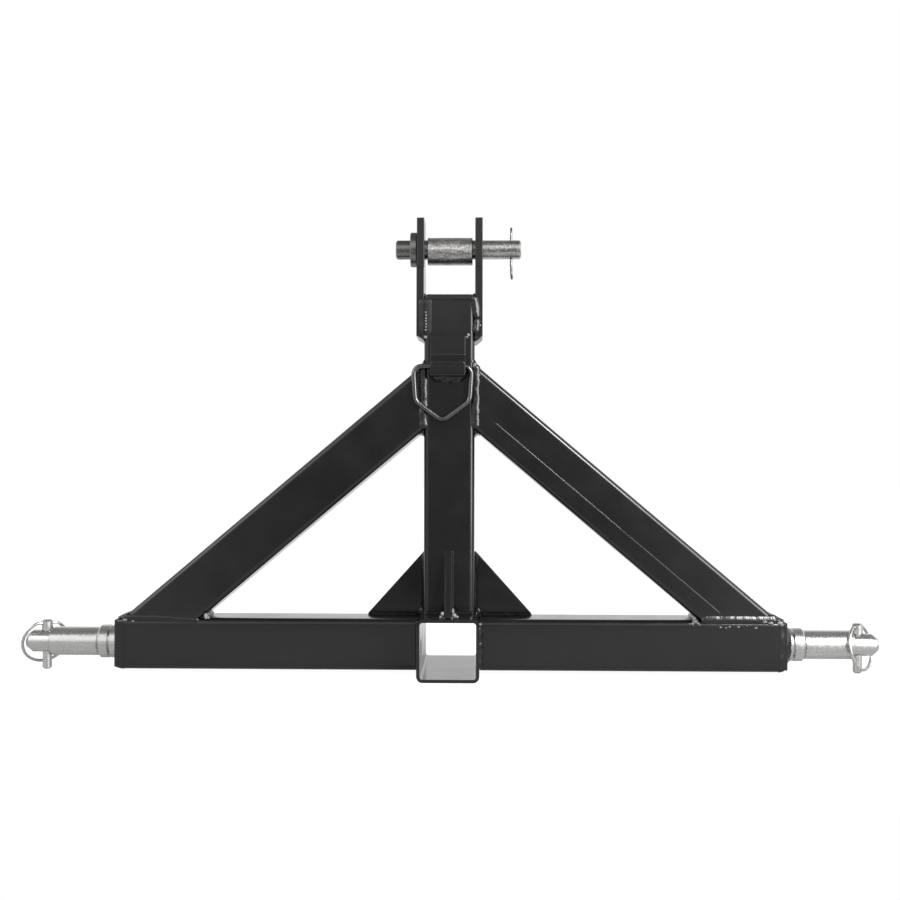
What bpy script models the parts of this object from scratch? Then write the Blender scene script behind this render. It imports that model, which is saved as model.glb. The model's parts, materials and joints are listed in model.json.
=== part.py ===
"""Three point quick hitch: a welded frame of square tube with its pins, bushings and rings.

The origin is at the middle of the receiver tube's underside. X runs to the right, Y to the rear and
Z up, seen from the side on which the implement is pushed into the receiver. Sizes are millimetres.
"""

import math

import bmesh
import bpy
from mathutils import Matrix, Vector

MM = 0.001

# Fits that every piece shares
SEAT_GAP = 0.3
TURN_STEPS = 32
ARC_STEP = math.radians(18.0)

# Receiver tube
RECEIVER_SIDE = 60.0
RECEIVER_WALL = 3.2
RECEIVER_CORNER = 6.0
RECEIVER_LENGTH = 150.0
RECEIVER_PIN_BORE = 16.0
RECEIVER_PIN_SETBACK = 30.0

# Crossbar and its end plates
CROSSBAR_SIDE = 50.8
CROSSBAR_WALL = 4.0
CROSSBAR_CORNER = 6.0
CROSSBAR_REACH = 324.0
CROSSBAR_LIFT = 4.0
CROSSBAR_SETBACK = 44.0
END_PLATE_SIDE = 47.0
END_PLATE_THICKNESS = 7.7
PLATE_EDGE = 0.8

# Mast and braces
FRAME_TUBE_SIDE = 50.0
FRAME_TUBE_WALL = 3.2
FRAME_TUBE_CORNER = 5.0
MAST_LENGTH = 310.6
MAST_CAP_THICKNESS = 3.0
BRACE_HEAD_DROP = 26.9
BRACE_FOOT_INSET = 0.8

# Clevis ears
EAR_THICKNESS = 7.5
EAR_OVERLAP = 37.0
EAR_PIN_HEIGHT = 52.7
EAR_CROWN = 29.3
EAR_HEAD_DEPTH = 38.0
EAR_SHOULDER_DROP = 20.3
EAR_SHOULDER_RUN = 1.0
EAR_CORNER = 1.5
EAR_SHOULDER_CORNER = 0.8
EAR_BORE = 20.5

# Gussets
GUSSET_THICKNESS = 6.0
GUSSET_HEIGHT = 59.0
GUSSET_REACH = 58.2
GUSSET_NOSE = 1.0
GUSSET_SETBACK = 42.0
FRONT_GUSSET_HEIGHT = 62.7
FRONT_GUSSET_REACH = 38.0

# Chain ring and its strap
RING_WIRE = 5.0
RING_BAR_DROP = 66.9
RING_BAR_STANDOFF = 3.6
RING_X = -6.6
RING_HALF_WIDTH = 28.8
RING_LOW_HALF_WIDTH = 26.9
RING_SIDE_DROP = 34.4
RING_APEX_DROP = 54.1
RING_TOP_BEND = 8.0
RING_SIDE_BEND = 10.0
RING_APEX_BEND = 9.0
STRAP_X = -1.4
STRAP_WIDTH = 34.5
STRAP_THICKNESS = 4.5
STRAP_STANDOFF = 11.3
STRAP_TOP_RISE = 30.0
STRAP_UPPER_BEND_RISE = 11.0
STRAP_LOWER_BEND_RISE = 2.5
STRAP_FOOT_DROP = 10.5
STRAP_OUTER_BEND = 3.0
STRAP_INNER_BEND = 1.0

# Top link pin, its collar, sleeve and clip
TOP_PIN_DIAMETER = 19.05
TOP_PIN_RIGHT_REACH = 38.4
TOP_PIN_STUB = 14.6
TOP_PIN_CHAMFER = 1.5
TOP_COLLAR_DIAMETER = 34.6
TOP_COLLAR_THICKNESS = 6.7
TOP_COLLAR_CHAMFER = 0.8
CLIP_HOLE = 3.0
CLIP_HOLE_INSET = 9.7
STUB_HOLE_INSET = 5.4
SLEEVE_OUTER = 27.6
SLEEVE_BORE = 23.2
SLEEVE_LENGTH = 45.1
SLEEVE_CHAMFER = 0.6
CLIP_WIRE = 2.2
CLIP_LEG_RISE = 12.6
CLIP_EYE_DROP = 14.8
CLIP_EYE_RADIUS = 4.6

# Lower link pins, their bushings and linch pins
LOWER_PIN_DROP = 1.0
PIN_BASE_RADIUS = 16.5
PIN_BASE_LENGTH = 7.2
PIN_NECK_RADIUS = 12.3
PIN_NECK_LENGTH = 2.5
PIN_COLLAR_RADIUS = 16.6
PIN_COLLAR_LENGTH = 10.2
PIN_COLLAR_CHAMFER = 2.0
PIN_SHANK_RADIUS = 11.1
PIN_SHANK_LENGTH = 68.0
PIN_NOSE_LENGTH = 6.1
PIN_NOSE_RADIUS = 6.5
PIN_HOLE_INSET = 19.55
PIN_HOLE_DIAMETER = 9.7
BUSHING_WALL = 2.9
BUSHING_CHAMFER = 0.8
LINCH_STEM_DIAMETER = 9.1
LINCH_STEM_DROP = 28.0
LINCH_STEM_CHAMFER = 1.6
LINCH_HEAD_DIAMETER = 11.0
LINCH_HEAD_HEIGHT = 10.0
LINCH_HEAD_CHAMFER = 1.5
LINCH_HINGE_RISE = 18.0
LINCH_HINGE_BORE = 3.7
LINCH_RING_WIRE = 3.1
LINCH_RING_RADIUS = 22.5
LINCH_RING_DROP = 20.3
LINCH_RING_STUB = 2.4
LINCH_RING_TURN = {"left": math.radians(36.0), "right": math.radians(48.0)}
LINCH_RING_TILT = {"left": math.radians(21.0), "right": math.radians(10.0)}

# Places that follow from the sizes above
SIDES = {"left": -1, "right": 1}
RECEIVER_HALF = RECEIVER_SIDE / 2
RECEIVER_FRONT_Y = -RECEIVER_LENGTH / 2
CROSSBAR_FRONT_Y = RECEIVER_FRONT_Y + CROSSBAR_SETBACK
FRAME_Y = CROSSBAR_FRONT_Y + CROSSBAR_SIDE / 2
CROSSBAR_Z = CROSSBAR_LIFT + CROSSBAR_SIDE / 2
CROSSBAR_TOP_Z = CROSSBAR_LIFT + CROSSBAR_SIDE
LOWER_PIN_Z = CROSSBAR_Z - LOWER_PIN_DROP
CROSSBAR_ROOT_X = RECEIVER_HALF + SEAT_GAP
TUBE_HALF = FRAME_TUBE_SIDE / 2
MAST_FRONT_Y = FRAME_Y - TUBE_HALF
MAST_FOOT_Z = RECEIVER_SIDE + SEAT_GAP
MAST_TOP_Z = MAST_FOOT_Z + MAST_LENGTH
EAR_FOOT_Z = MAST_TOP_Z - EAR_OVERLAP
BRACE_HEAD_Z = EAR_FOOT_Z - BRACE_HEAD_DROP
BRACE_FOOT_X = CROSSBAR_REACH - BRACE_FOOT_INSET
RING_BAR_Z = MAST_TOP_Z - RING_BAR_DROP
BESIDE_MAST_X = TUBE_HALF + SEAT_GAP
ON_CROSSBAR_Z = CROSSBAR_TOP_Z + SEAT_GAP
EAR_OUTER_X = BESIDE_MAST_X + EAR_THICKNESS
TOP_PIN_Z = MAST_TOP_Z + EAR_PIN_HEIGHT
LOWER_PIN_ROOT_X = CROSSBAR_REACH + SEAT_GAP + END_PLATE_THICKNESS + SEAT_GAP
PIN_COLLAR_END = PIN_BASE_LENGTH + PIN_NECK_LENGTH + PIN_COLLAR_LENGTH
PIN_SHANK_END = PIN_COLLAR_END + PIN_SHANK_LENGTH
PIN_END = PIN_SHANK_END + PIN_NOSE_LENGTH
LINCH_X = LOWER_PIN_ROOT_X + PIN_END - PIN_HOLE_INSET
LINCH_HEAD_RISE = PIN_SHANK_RADIUS + SEAT_GAP

# Finishes: colour, roughness, metallic
BLACK_COAT = ((0.018, 0.018, 0.020), 0.28, 0.0)
ZINC_PLATE = ((0.62, 0.62, 0.61), 0.30, 1.0)
PLAIN_STEEL = ((0.42, 0.41, 0.40), 0.42, 1.0)
SPRING_WIRE = ((0.30, 0.30, 0.30), 0.35, 1.0)


def clear_scene():
    """Remove every object of the open file."""
    for item in list(bpy.data.objects):
        bpy.data.objects.remove(item, do_unlink=True)


def new_collection(name):
    """Add a collection to the scene."""
    made = bpy.data.collections.new(name)
    bpy.context.scene.collection.children.link(made)
    return made


def frame_matrix(origin, u, v):
    """Matrix at origin (in mm) whose local X runs along u and local Y along v."""
    x_axis = Vector(u).normalized()
    y_axis = Vector(v).normalized()
    z_axis = x_axis.cross(y_axis)
    matrix = Matrix((x_axis, y_axis, z_axis)).transposed().to_4x4()
    matrix.translation = Vector(origin) * MM
    return matrix


def along_x(origin, side):
    """Matrix whose local Z runs outward along X on one side."""
    return frame_matrix(origin, (0.0, side, 0.0), (0.0, 0.0, 1.0))


def add_object(name, data, matrix, group):
    """Link a new object that is placed by its matrix."""
    made = bpy.data.objects.new(name, data)
    group.objects.link(made)
    made.matrix_world = matrix
    bpy.context.view_layer.update()
    return made


def dress(part, finish):
    """Give a part its own material of one finish."""
    colour, roughness, metallic = finish
    material = bpy.data.materials.new(part.name + "_finish")
    material.use_nodes = True
    shader = material.node_tree.nodes["Principled BSDF"]
    shader.inputs["Base Color"].default_value = (*colour, 1.0)
    shader.inputs["Roughness"].default_value = roughness
    shader.inputs["Metallic"].default_value = metallic
    part.data.materials.append(material)


def solid_from(source, smooth_angle=math.radians(35.0)):
    """Replace an object by the welded mesh that its curve or modifiers make."""
    name = source.name
    matrix = source.matrix_world.copy()
    group = source.users_collection[0]
    evaluated = source.evaluated_get(bpy.context.evaluated_depsgraph_get())
    mesh = bpy.data.meshes.new_from_object(evaluated)
    bpy.data.objects.remove(source, do_unlink=True)
    shape = bmesh.new()
    shape.from_mesh(mesh)
    bmesh.ops.remove_doubles(shape, verts=shape.verts, dist=0.00001)
    bmesh.ops.recalc_face_normals(shape, faces=shape.faces)
    shape.to_mesh(mesh)
    shape.free()
    mesh.name = name
    mesh.shade_smooth()
    mesh.set_sharp_from_angle(angle=smooth_angle)
    return add_object(name, mesh, matrix, group)


def filleted(corners):
    """Outline through corners (x, y, radius), each rounded by an arc of its radius."""
    points = []
    count = len(corners)
    for index, (x, y, radius) in enumerate(corners):
        corner = Vector((x, y))
        if radius == 0.0:
            points.append(corner)
            continue
        before = (Vector(corners[index - 1][:2]) - corner).normalized()
        after = (Vector(corners[(index + 1) % count][:2]) - corner).normalized()
        half_angle = before.angle(after) / 2
        centre = corner + (before + after).normalized() * (radius / math.sin(half_angle))
        spoke = corner + before * (radius / math.tan(half_angle)) - centre
        turn = math.copysign(math.pi - 2 * half_angle, after.cross(before))
        steps = max(2, math.ceil(abs(turn) / ARC_STEP))
        for step in range(steps + 1):
            points.append(centre + Matrix.Rotation(turn * step / steps, 2) @ spoke)
    return points


def rectangle(width, height, radius):
    """Outline of a rectangle with round corners, centred on its origin."""
    x = width / 2
    y = height / 2
    return filleted([(-x, -y, radius), (x, -y, radius), (x, y, radius), (-x, y, radius)])


def tube_section(side, wall, corner):
    """The outer and the inner loop of a square tube's section."""
    inner_side = side - 2 * wall
    inner_corner = max(corner - wall, wall / 2)
    return [rectangle(side, side, corner), rectangle(inner_side, inner_side, inner_corner)]


def circle(x, y, radius):
    """Outline of a round hole."""
    turns = [2 * math.pi * step / TURN_STEPS for step in range(TURN_STEPS)]
    return [Vector((x + radius * math.cos(turn), y + radius * math.sin(turn))) for turn in turns]


def plate(name, loops, thickness, matrix, group):
    """A flat outline with its holes, extruded by half the thickness to each side of its plane."""
    curve = bpy.data.curves.new(name, "CURVE")
    curve.dimensions = "2D"
    curve.fill_mode = "BOTH"
    curve.extrude = thickness * MM / 2
    for loop in loops:
        spline = curve.splines.new("POLY")
        spline.points.add(len(loop) - 1)
        for point, place in zip(spline.points, loop):
            point.co = (place[0] * MM, place[1] * MM, 0.0, 1.0)
        spline.use_cyclic_u = True
    return solid_from(add_object(name, curve, matrix, group))


def turned(name, profile, matrix, group, hollow=False):
    """Turn a profile of (radius, height) points about local Z; a hollow one is a closed loop."""
    points = [(radius * MM, 0.0, height * MM) for radius, height in profile]
    edges = [(index, index + 1) for index in range(len(points) - 1)]
    if hollow:
        edges.append((len(points) - 1, 0))
    mesh = bpy.data.meshes.new(name)
    mesh.from_pydata(points, edges, [])
    blank = add_object(name, mesh, matrix, group)
    screw = blank.modifiers.new("turn", "SCREW")
    screw.steps = TURN_STEPS
    screw.render_steps = TURN_STEPS
    screw.use_merge_vertices = True
    screw.merge_threshold = 0.00001
    return solid_from(blank)


def wire(name, path, diameter, matrix, group, closed=False):
    """A round wire along a path of (x, y, z) points."""
    curve = bpy.data.curves.new(name, "CURVE")
    curve.dimensions = "3D"
    curve.bevel_depth = diameter * MM / 2
    curve.bevel_resolution = 2
    curve.use_fill_caps = not closed
    spline = curve.splines.new("POLY")
    spline.points.add(len(path) - 1)
    for point, place in zip(spline.points, path):
        point.co = (place[0] * MM, place[1] * MM, place[2] * MM, 1.0)
    spline.use_cyclic_u = closed
    return solid_from(add_object(name, curve, matrix, group))


def smooth_path(points, steps):
    """Catmull-Rom curve through its points, with a number of steps to each span."""
    ends = [points[0], *points, points[-1]]
    path = []
    for index in range(len(points) - 1):
        a, b, c, d = (Vector(place) for place in ends[index:index + 4])
        for step in range(steps):
            t = step / steps
            path.append(0.5 * (2 * b + (c - a) * t + (2 * a - 5 * b + 4 * c - d) * t ** 2
                               + (3 * b - a - 3 * c + d) * t ** 3))
    path.append(Vector(points[-1]))
    return path


def hide_cutter(cutter):
    """Keep a cutter out of renders and show it as lines."""
    cutter.hide_render = True
    cutter.display_type = "WIRE"
    return cutter


def box_cutter(name, low, high, group):
    """A box between two corners, for cutting."""
    size = Vector(high) - Vector(low)
    mesh = bpy.data.meshes.new(name)
    shape = bmesh.new()
    bmesh.ops.create_cube(shape, size=1.0, matrix=Matrix.Diagonal((*(size * MM), 1.0)))
    shape.to_mesh(mesh)
    shape.free()
    centre = (Vector(high) + Vector(low)) / 2
    return hide_cutter(add_object(name, mesh, Matrix.Translation(centre * MM), group))


def drill(name, centre, direction, diameter, length, group):
    """A cylinder about a centre along a direction, for cutting a round hole."""
    mesh = bpy.data.meshes.new(name)
    shape = bmesh.new()
    bmesh.ops.create_cone(shape, cap_ends=True, segments=TURN_STEPS, radius1=diameter * MM / 2,
                          radius2=diameter * MM / 2, depth=length * MM)
    shape.to_mesh(mesh)
    shape.free()
    matrix = Vector(direction).to_track_quat("Z", "Y").to_matrix().to_4x4()
    matrix.translation = Vector(centre) * MM
    return hide_cutter(add_object(name, mesh, matrix, group))


def cut(part, cutter):
    """Subtract a cutter from a part."""
    boolean = part.modifiers.new(cutter.name, "BOOLEAN")
    boolean.operation = "DIFFERENCE"
    boolean.solver = "EXACT"
    boolean.object = cutter


def soften(part, width):
    """Break a plate's sharp edges."""
    bevel = part.modifiers.new("edge", "BEVEL")
    bevel.width = width * MM
    bevel.segments = 1
    bevel.limit_method = "ANGLE"
    bevel.angle_limit = math.radians(50.0)


def build_receiver(parts, cutters):
    """The square socket tube, open at both ends, with a cross hole for its hitch pin."""
    section = tube_section(RECEIVER_SIDE, RECEIVER_WALL, RECEIVER_CORNER)
    place = frame_matrix((0.0, 0.0, RECEIVER_HALF), (1, 0, 0), (0, 0, 1))
    receiver = plate("receiver_tube", section, RECEIVER_LENGTH, place, parts)
    centre = (0.0, RECEIVER_FRONT_Y + RECEIVER_PIN_SETBACK, RECEIVER_HALF)
    cut(receiver, drill("receiver_pin_drill", centre, (1, 0, 0), RECEIVER_PIN_BORE,
                        2 * RECEIVER_SIDE, cutters))
    dress(receiver, BLACK_COAT)


def build_crossbar(parts):
    """The crossbar's two halves and the plates that close their outer ends."""
    section = tube_section(CROSSBAR_SIDE, CROSSBAR_WALL, CROSSBAR_CORNER)
    length = CROSSBAR_REACH - CROSSBAR_ROOT_X
    for side, sign in SIDES.items():
        middle = sign * (CROSSBAR_ROOT_X + length / 2)
        place = frame_matrix((middle, FRAME_Y, CROSSBAR_Z), (0, 1, 0), (0, 0, 1))
        dress(plate("crossbar_" + side, section, length, place, parts), BLACK_COAT)
        middle = sign * (CROSSBAR_REACH + SEAT_GAP + END_PLATE_THICKNESS / 2)
        bpy.ops.mesh.primitive_cube_add(size=1.0)
        end_plate = bpy.context.object
        end_plate.name = "end_plate_" + side
        end_plate.data.name = end_plate.name
        size = Vector((END_PLATE_THICKNESS, END_PLATE_SIDE, END_PLATE_SIDE)) * MM
        end_plate.data.transform(Matrix.Diagonal((*size, 1.0)))
        end_plate.location = Vector((middle, FRAME_Y, CROSSBAR_Z)) * MM
        for group in list(end_plate.users_collection):
            group.objects.unlink(end_plate)
        parts.objects.link(end_plate)
        soften(end_plate, PLATE_EDGE)
        dress(end_plate, BLACK_COAT)


def build_mast(parts):
    """The upright tube and the plate on its head."""
    section = tube_section(FRAME_TUBE_SIDE, FRAME_TUBE_WALL, FRAME_TUBE_CORNER)
    place = frame_matrix((0.0, FRAME_Y, MAST_FOOT_Z + MAST_LENGTH / 2), (1, 0, 0), (0, 1, 0))
    dress(plate("mast_tube", section, MAST_LENGTH, place, parts), BLACK_COAT)
    middle = MAST_TOP_Z + SEAT_GAP + MAST_CAP_THICKNESS / 2
    place = frame_matrix((0.0, FRAME_Y, middle), (1, 0, 0), (0, 1, 0))
    outline = rectangle(FRAME_TUBE_SIDE, FRAME_TUBE_SIDE, FRAME_TUBE_CORNER)
    dress(plate("mast_cap", [outline], MAST_CAP_THICKNESS, place, parts), BLACK_COAT)


def build_braces(parts, cutters):
    """The sloping tubes, mitred against the mast's sides and the crossbar's top."""
    section = tube_section(FRAME_TUBE_SIDE, FRAME_TUBE_WALL, FRAME_TUBE_CORNER)
    head = Vector((TUBE_HALF, BRACE_HEAD_Z))
    foot = Vector((BRACE_FOOT_X, CROSSBAR_TOP_Z))
    slope = math.atan2(head.y - foot.y, foot.x - head.x)
    normal = Vector((math.sin(slope), math.cos(slope)))
    middle = (head + foot) / 2 - normal * TUBE_HALF
    spare = 2 * FRAME_TUBE_SIDE
    length = (foot - head).length + 2 * FRAME_TUBE_WALL
    beside = box_cutter("mast_clearance", (-BESIDE_MAST_X, FRAME_Y - spare, 0.0),
                        (BESIDE_MAST_X, FRAME_Y + spare, BRACE_HEAD_Z + spare), cutters)
    below = box_cutter("crossbar_clearance", (-CROSSBAR_REACH - spare, FRAME_Y - spare, -spare),
                       (CROSSBAR_REACH + spare, FRAME_Y + spare, ON_CROSSBAR_Z), cutters)
    for side, sign in SIDES.items():
        outward = (sign * normal.x, 0.0, normal.y)
        place = frame_matrix((sign * middle.x, FRAME_Y, middle.y), (0, 1, 0), outward)
        brace = plate("brace_" + side, section, length, place, parts)
        cut(brace, beside)
        cut(brace, below)
        dress(brace, BLACK_COAT)


def build_ears(parts):
    """The two flat bars that carry the top link pin, with shoulders below a narrower head."""
    half = TUBE_HALF
    head = EAR_HEAD_DEPTH / 2
    foot_z = EAR_FOOT_Z - TOP_PIN_Z
    waist_z = -EAR_SHOULDER_DROP - EAR_SHOULDER_RUN
    outline = filleted([
        (-half, foot_z, 0.0), (half, foot_z, 0.0), (half, waist_z, EAR_SHOULDER_CORNER),
        (head, -EAR_SHOULDER_DROP, EAR_SHOULDER_CORNER), (head, EAR_CROWN, EAR_CORNER),
        (-head, EAR_CROWN, EAR_CORNER), (-head, -EAR_SHOULDER_DROP, EAR_SHOULDER_CORNER),
        (-half, waist_z, EAR_SHOULDER_CORNER)])
    loops = [outline, circle(0.0, 0.0, EAR_BORE / 2)]
    for side, sign in SIDES.items():
        middle = sign * (BESIDE_MAST_X + EAR_THICKNESS / 2)
        place = frame_matrix((middle, FRAME_Y, TOP_PIN_Z), (0, 1, 0), (0, 0, 1))
        dress(plate("clevis_ear_" + side, loops, EAR_THICKNESS, place, parts), BLACK_COAT)


def build_gussets(parts):
    """The plates in the corners between the mast, the crossbar and the receiver."""
    step = RECEIVER_SIDE + SEAT_GAP
    outline = [
        (BESIDE_MAST_X, step), (CROSSBAR_ROOT_X, step), (CROSSBAR_ROOT_X, ON_CROSSBAR_Z),
        (TUBE_HALF + GUSSET_REACH, ON_CROSSBAR_Z),
        (TUBE_HALF + GUSSET_REACH, ON_CROSSBAR_Z + GUSSET_NOSE),
        (BESIDE_MAST_X + GUSSET_NOSE, step + GUSSET_HEIGHT), (BESIDE_MAST_X, step + GUSSET_HEIGHT)]
    for side, sign in SIDES.items():
        place = frame_matrix((0.0, CROSSBAR_FRONT_Y + GUSSET_SETBACK, 0.0), (sign, 0, 0), (0, 0, 1))
        dress(plate("gusset_" + side, [outline], GUSSET_THICKNESS, place, parts), BLACK_COAT)
    back = MAST_FRONT_Y - SEAT_GAP
    outline = [
        (back, step), (back, step + FRONT_GUSSET_HEIGHT),
        (back - GUSSET_NOSE, step + FRONT_GUSSET_HEIGHT),
        (back - FRONT_GUSSET_REACH, step + GUSSET_NOSE), (back - FRONT_GUSSET_REACH, step)]
    place = frame_matrix((0.0, 0.0, 0.0), (0, 1, 0), (0, 0, 1))
    dress(plate("front_gusset", [outline], GUSSET_THICKNESS, place, parts), BLACK_COAT)


def bent_strip(front, thickness, outer_bend, inner_bend):
    """Closed outline of a strip whose front follows a line of points and whose back is offset."""
    runs = [(Vector(b) - Vector(a)).normalized() for a, b in zip(front, front[1:])]
    backs = [Vector((-run.y, run.x)) * thickness for run in runs]
    back = [Vector(front[0]) + backs[0]]
    for index in range(1, len(runs)):
        bend = runs[index - 1].angle(runs[index])
        middle = (backs[index - 1] + backs[index]).normalized()
        back.append(Vector(front[index]) + middle * thickness / math.cos(bend / 2))
    back.append(Vector(front[-1]) + backs[-1])
    corners = [(*front[0], 0.0)]
    corners += [(*place, outer_bend) for place in front[1:-1]]
    corners += [(*front[-1], 0.0), (*back[-1], 0.0)]
    corners += [(*place, inner_bend) for place in reversed(back[1:-1])]
    corners.append((*back[0], 0.0))
    return filleted(corners)


def build_chain_ring(parts):
    """The five-sided wire ring and the bent strap in which its top bar turns."""
    face = MAST_FRONT_Y
    near = face - SEAT_GAP
    crest = face - STRAP_STANDOFF
    front = [
        (near - STRAP_THICKNESS, RING_BAR_Z + STRAP_TOP_RISE),
        (near - STRAP_THICKNESS, RING_BAR_Z + STRAP_UPPER_BEND_RISE),
        (crest, RING_BAR_Z + STRAP_LOWER_BEND_RISE),
        (crest, RING_BAR_Z - STRAP_FOOT_DROP),
        (near, RING_BAR_Z - STRAP_FOOT_DROP)]
    outline = bent_strip(front, STRAP_THICKNESS, STRAP_OUTER_BEND, STRAP_INNER_BEND)
    place = frame_matrix((STRAP_X, 0.0, 0.0), (0, 1, 0), (0, 0, 1))
    dress(plate("ring_strap", [outline], STRAP_WIDTH, place, parts), BLACK_COAT)
    outline = filleted([
        (-RING_HALF_WIDTH, 0.0, RING_TOP_BEND), (RING_HALF_WIDTH, 0.0, RING_TOP_BEND),
        (RING_LOW_HALF_WIDTH, -RING_SIDE_DROP, RING_SIDE_BEND),
        (0.0, -RING_APEX_DROP, RING_APEX_BEND),
        (-RING_LOW_HALF_WIDTH, -RING_SIDE_DROP, RING_SIDE_BEND)])
    path = [(point.x, 0.0, point.y) for point in outline]
    place = Matrix.Translation(Vector((RING_X, face - RING_BAR_STANDOFF, RING_BAR_Z)) * MM)
    dress(wire("chain_ring", path, RING_WIRE, place, parts, closed=True), BLACK_COAT)


def build_top_pin(parts, cutters):
    """The top link pin with its collar, cross holes, loose sleeve and hairpin clip."""
    radius = TOP_PIN_DIAMETER / 2
    collar = TOP_COLLAR_DIAMETER / 2
    collar_right = -EAR_OUTER_X - SEAT_GAP
    collar_left = collar_right - TOP_COLLAR_THICKNESS
    left_end = collar_left - TOP_PIN_STUB
    right_end = EAR_OUTER_X + TOP_PIN_RIGHT_REACH
    profile = [
        (0.0, right_end), (radius - TOP_PIN_CHAMFER, right_end),
        (radius, right_end - TOP_PIN_CHAMFER), (radius, collar_right),
        (collar - TOP_COLLAR_CHAMFER, collar_right), (collar, collar_right - TOP_COLLAR_CHAMFER),
        (collar, collar_left + TOP_COLLAR_CHAMFER), (collar - TOP_COLLAR_CHAMFER, collar_left),
        (radius, collar_left), (radius, left_end + TOP_PIN_CHAMFER),
        (radius - TOP_PIN_CHAMFER, left_end), (0.0, left_end)]
    pin = turned("top_pin", profile, along_x((0.0, FRAME_Y, TOP_PIN_Z), 1), parts)
    clip_x = right_end - CLIP_HOLE_INSET
    for name, x in (("clip_drill", clip_x), ("stub_drill", left_end + STUB_HOLE_INSET)):
        centre = (x, FRAME_Y, TOP_PIN_Z)
        cut(pin, drill(name, centre, (0, 0, 1), CLIP_HOLE, 2 * TOP_PIN_DIAMETER, cutters))
    dress(pin, ZINC_PLATE)

    bore = SLEEVE_BORE / 2
    outer = SLEEVE_OUTER / 2
    half = SLEEVE_LENGTH / 2
    profile = [
        (bore, half), (outer - SLEEVE_CHAMFER, half), (outer, half - SLEEVE_CHAMFER),
        (outer, SLEEVE_CHAMFER - half), (outer - SLEEVE_CHAMFER, -half), (bore, -half)]
    hang = TOP_PIN_Z - (bore - radius - SEAT_GAP)
    sleeve = turned("top_sleeve", profile, along_x((0.0, FRAME_Y, hang), 1), parts, hollow=True)
    dress(sleeve, PLAIN_STEEL)

    clip = wire("hairpin_clip", clip_path(radius), CLIP_WIRE,
                Matrix.Translation(Vector((clip_x, FRAME_Y, TOP_PIN_Z)) * MM), parts)
    dress(clip, SPRING_WIRE)


def clip_path(pin_radius):
    """Centre line of the hairpin clip: straight leg, round eye and bowed leg behind the pin."""
    eye_y = 1.9
    eye_z = -pin_radius - CLIP_EYE_DROP
    eye = []
    for degrees in range(155, 415, 20):
        turn = math.radians(degrees)
        lean = 0.35 * (1.0 - math.sin(turn))
        eye.append((lean, eye_y + CLIP_EYE_RADIUS * math.cos(turn),
                    eye_z + CLIP_EYE_RADIUS * math.sin(turn)))
    bow = pin_radius + CLIP_WIRE / 2 + 2 * SEAT_GAP
    neck_gap = CLIP_WIRE + 3 * SEAT_GAP
    return smooth_path([
        (0.0, 0.0, pin_radius + CLIP_LEG_RISE), (0.0, 0.0, pin_radius),
        (0.0, 0.0, -pin_radius), (0.0, 0.0, eye_z + 2.0 * CLIP_EYE_RADIUS),
        *eye,
        (0.0, neck_gap, eye_z + 1.55 * CLIP_EYE_RADIUS), (0.0, 0.5 * bow, -1.2 * bow),
        (0.0, 0.88 * bow, -0.68 * bow), (0.0, bow, 0.0), (0.0, 0.88 * bow, 0.64 * bow),
        (0.0, 0.5 * bow, 1.12 * bow), (0.0, neck_gap, 1.42 * bow),
        (0.0, 1.5 * neck_gap, 1.8 * bow)], 3)


def build_lower_pins(parts, cutters):
    """The stepped pins on the end plates and the plated bushings that turn on them."""
    bushing_start = PIN_COLLAR_END + SEAT_GAP
    bushing_end = PIN_END - PIN_HOLE_INSET - LINCH_HEAD_DIAMETER / 2 - SEAT_GAP
    profile = [
        (0.0, PIN_END), (PIN_NOSE_RADIUS, PIN_END), (PIN_SHANK_RADIUS, PIN_SHANK_END),
        (PIN_SHANK_RADIUS, PIN_COLLAR_END), (PIN_COLLAR_RADIUS - PIN_COLLAR_CHAMFER, PIN_COLLAR_END),
        (PIN_COLLAR_RADIUS, PIN_COLLAR_END - PIN_COLLAR_CHAMFER),
        (PIN_COLLAR_RADIUS, PIN_BASE_LENGTH + PIN_NECK_LENGTH),
        (PIN_NECK_RADIUS, PIN_BASE_LENGTH + PIN_NECK_LENGTH), (PIN_NECK_RADIUS, PIN_BASE_LENGTH),
        (PIN_BASE_RADIUS, PIN_BASE_LENGTH), (PIN_BASE_RADIUS, 0.0), (0.0, 0.0)]
    bore = PIN_SHANK_RADIUS + SEAT_GAP
    outer = bore + BUSHING_WALL
    bushing_profile = [
        (bore, bushing_end), (outer - BUSHING_CHAMFER, bushing_end),
        (outer, bushing_end - BUSHING_CHAMFER), (outer, bushing_start + BUSHING_CHAMFER),
        (outer - BUSHING_CHAMFER, bushing_start), (bore, bushing_start)]
    for side, sign in SIDES.items():
        place = along_x((sign * LOWER_PIN_ROOT_X, FRAME_Y, LOWER_PIN_Z), sign)
        pin = turned("lower_pin_" + side, profile, place, parts)
        centre = (sign * LINCH_X, FRAME_Y, LOWER_PIN_Z)
        cut(pin, drill("linch_drill_" + side, centre, (0, 0, 1), PIN_HOLE_DIAMETER,
                       4 * PIN_SHANK_RADIUS, cutters))
        dress(pin, ZINC_PLATE)
        bushing = turned("lower_bushing_" + side, bushing_profile, place, parts, hollow=True)
        dress(bushing, ZINC_PLATE)


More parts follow.
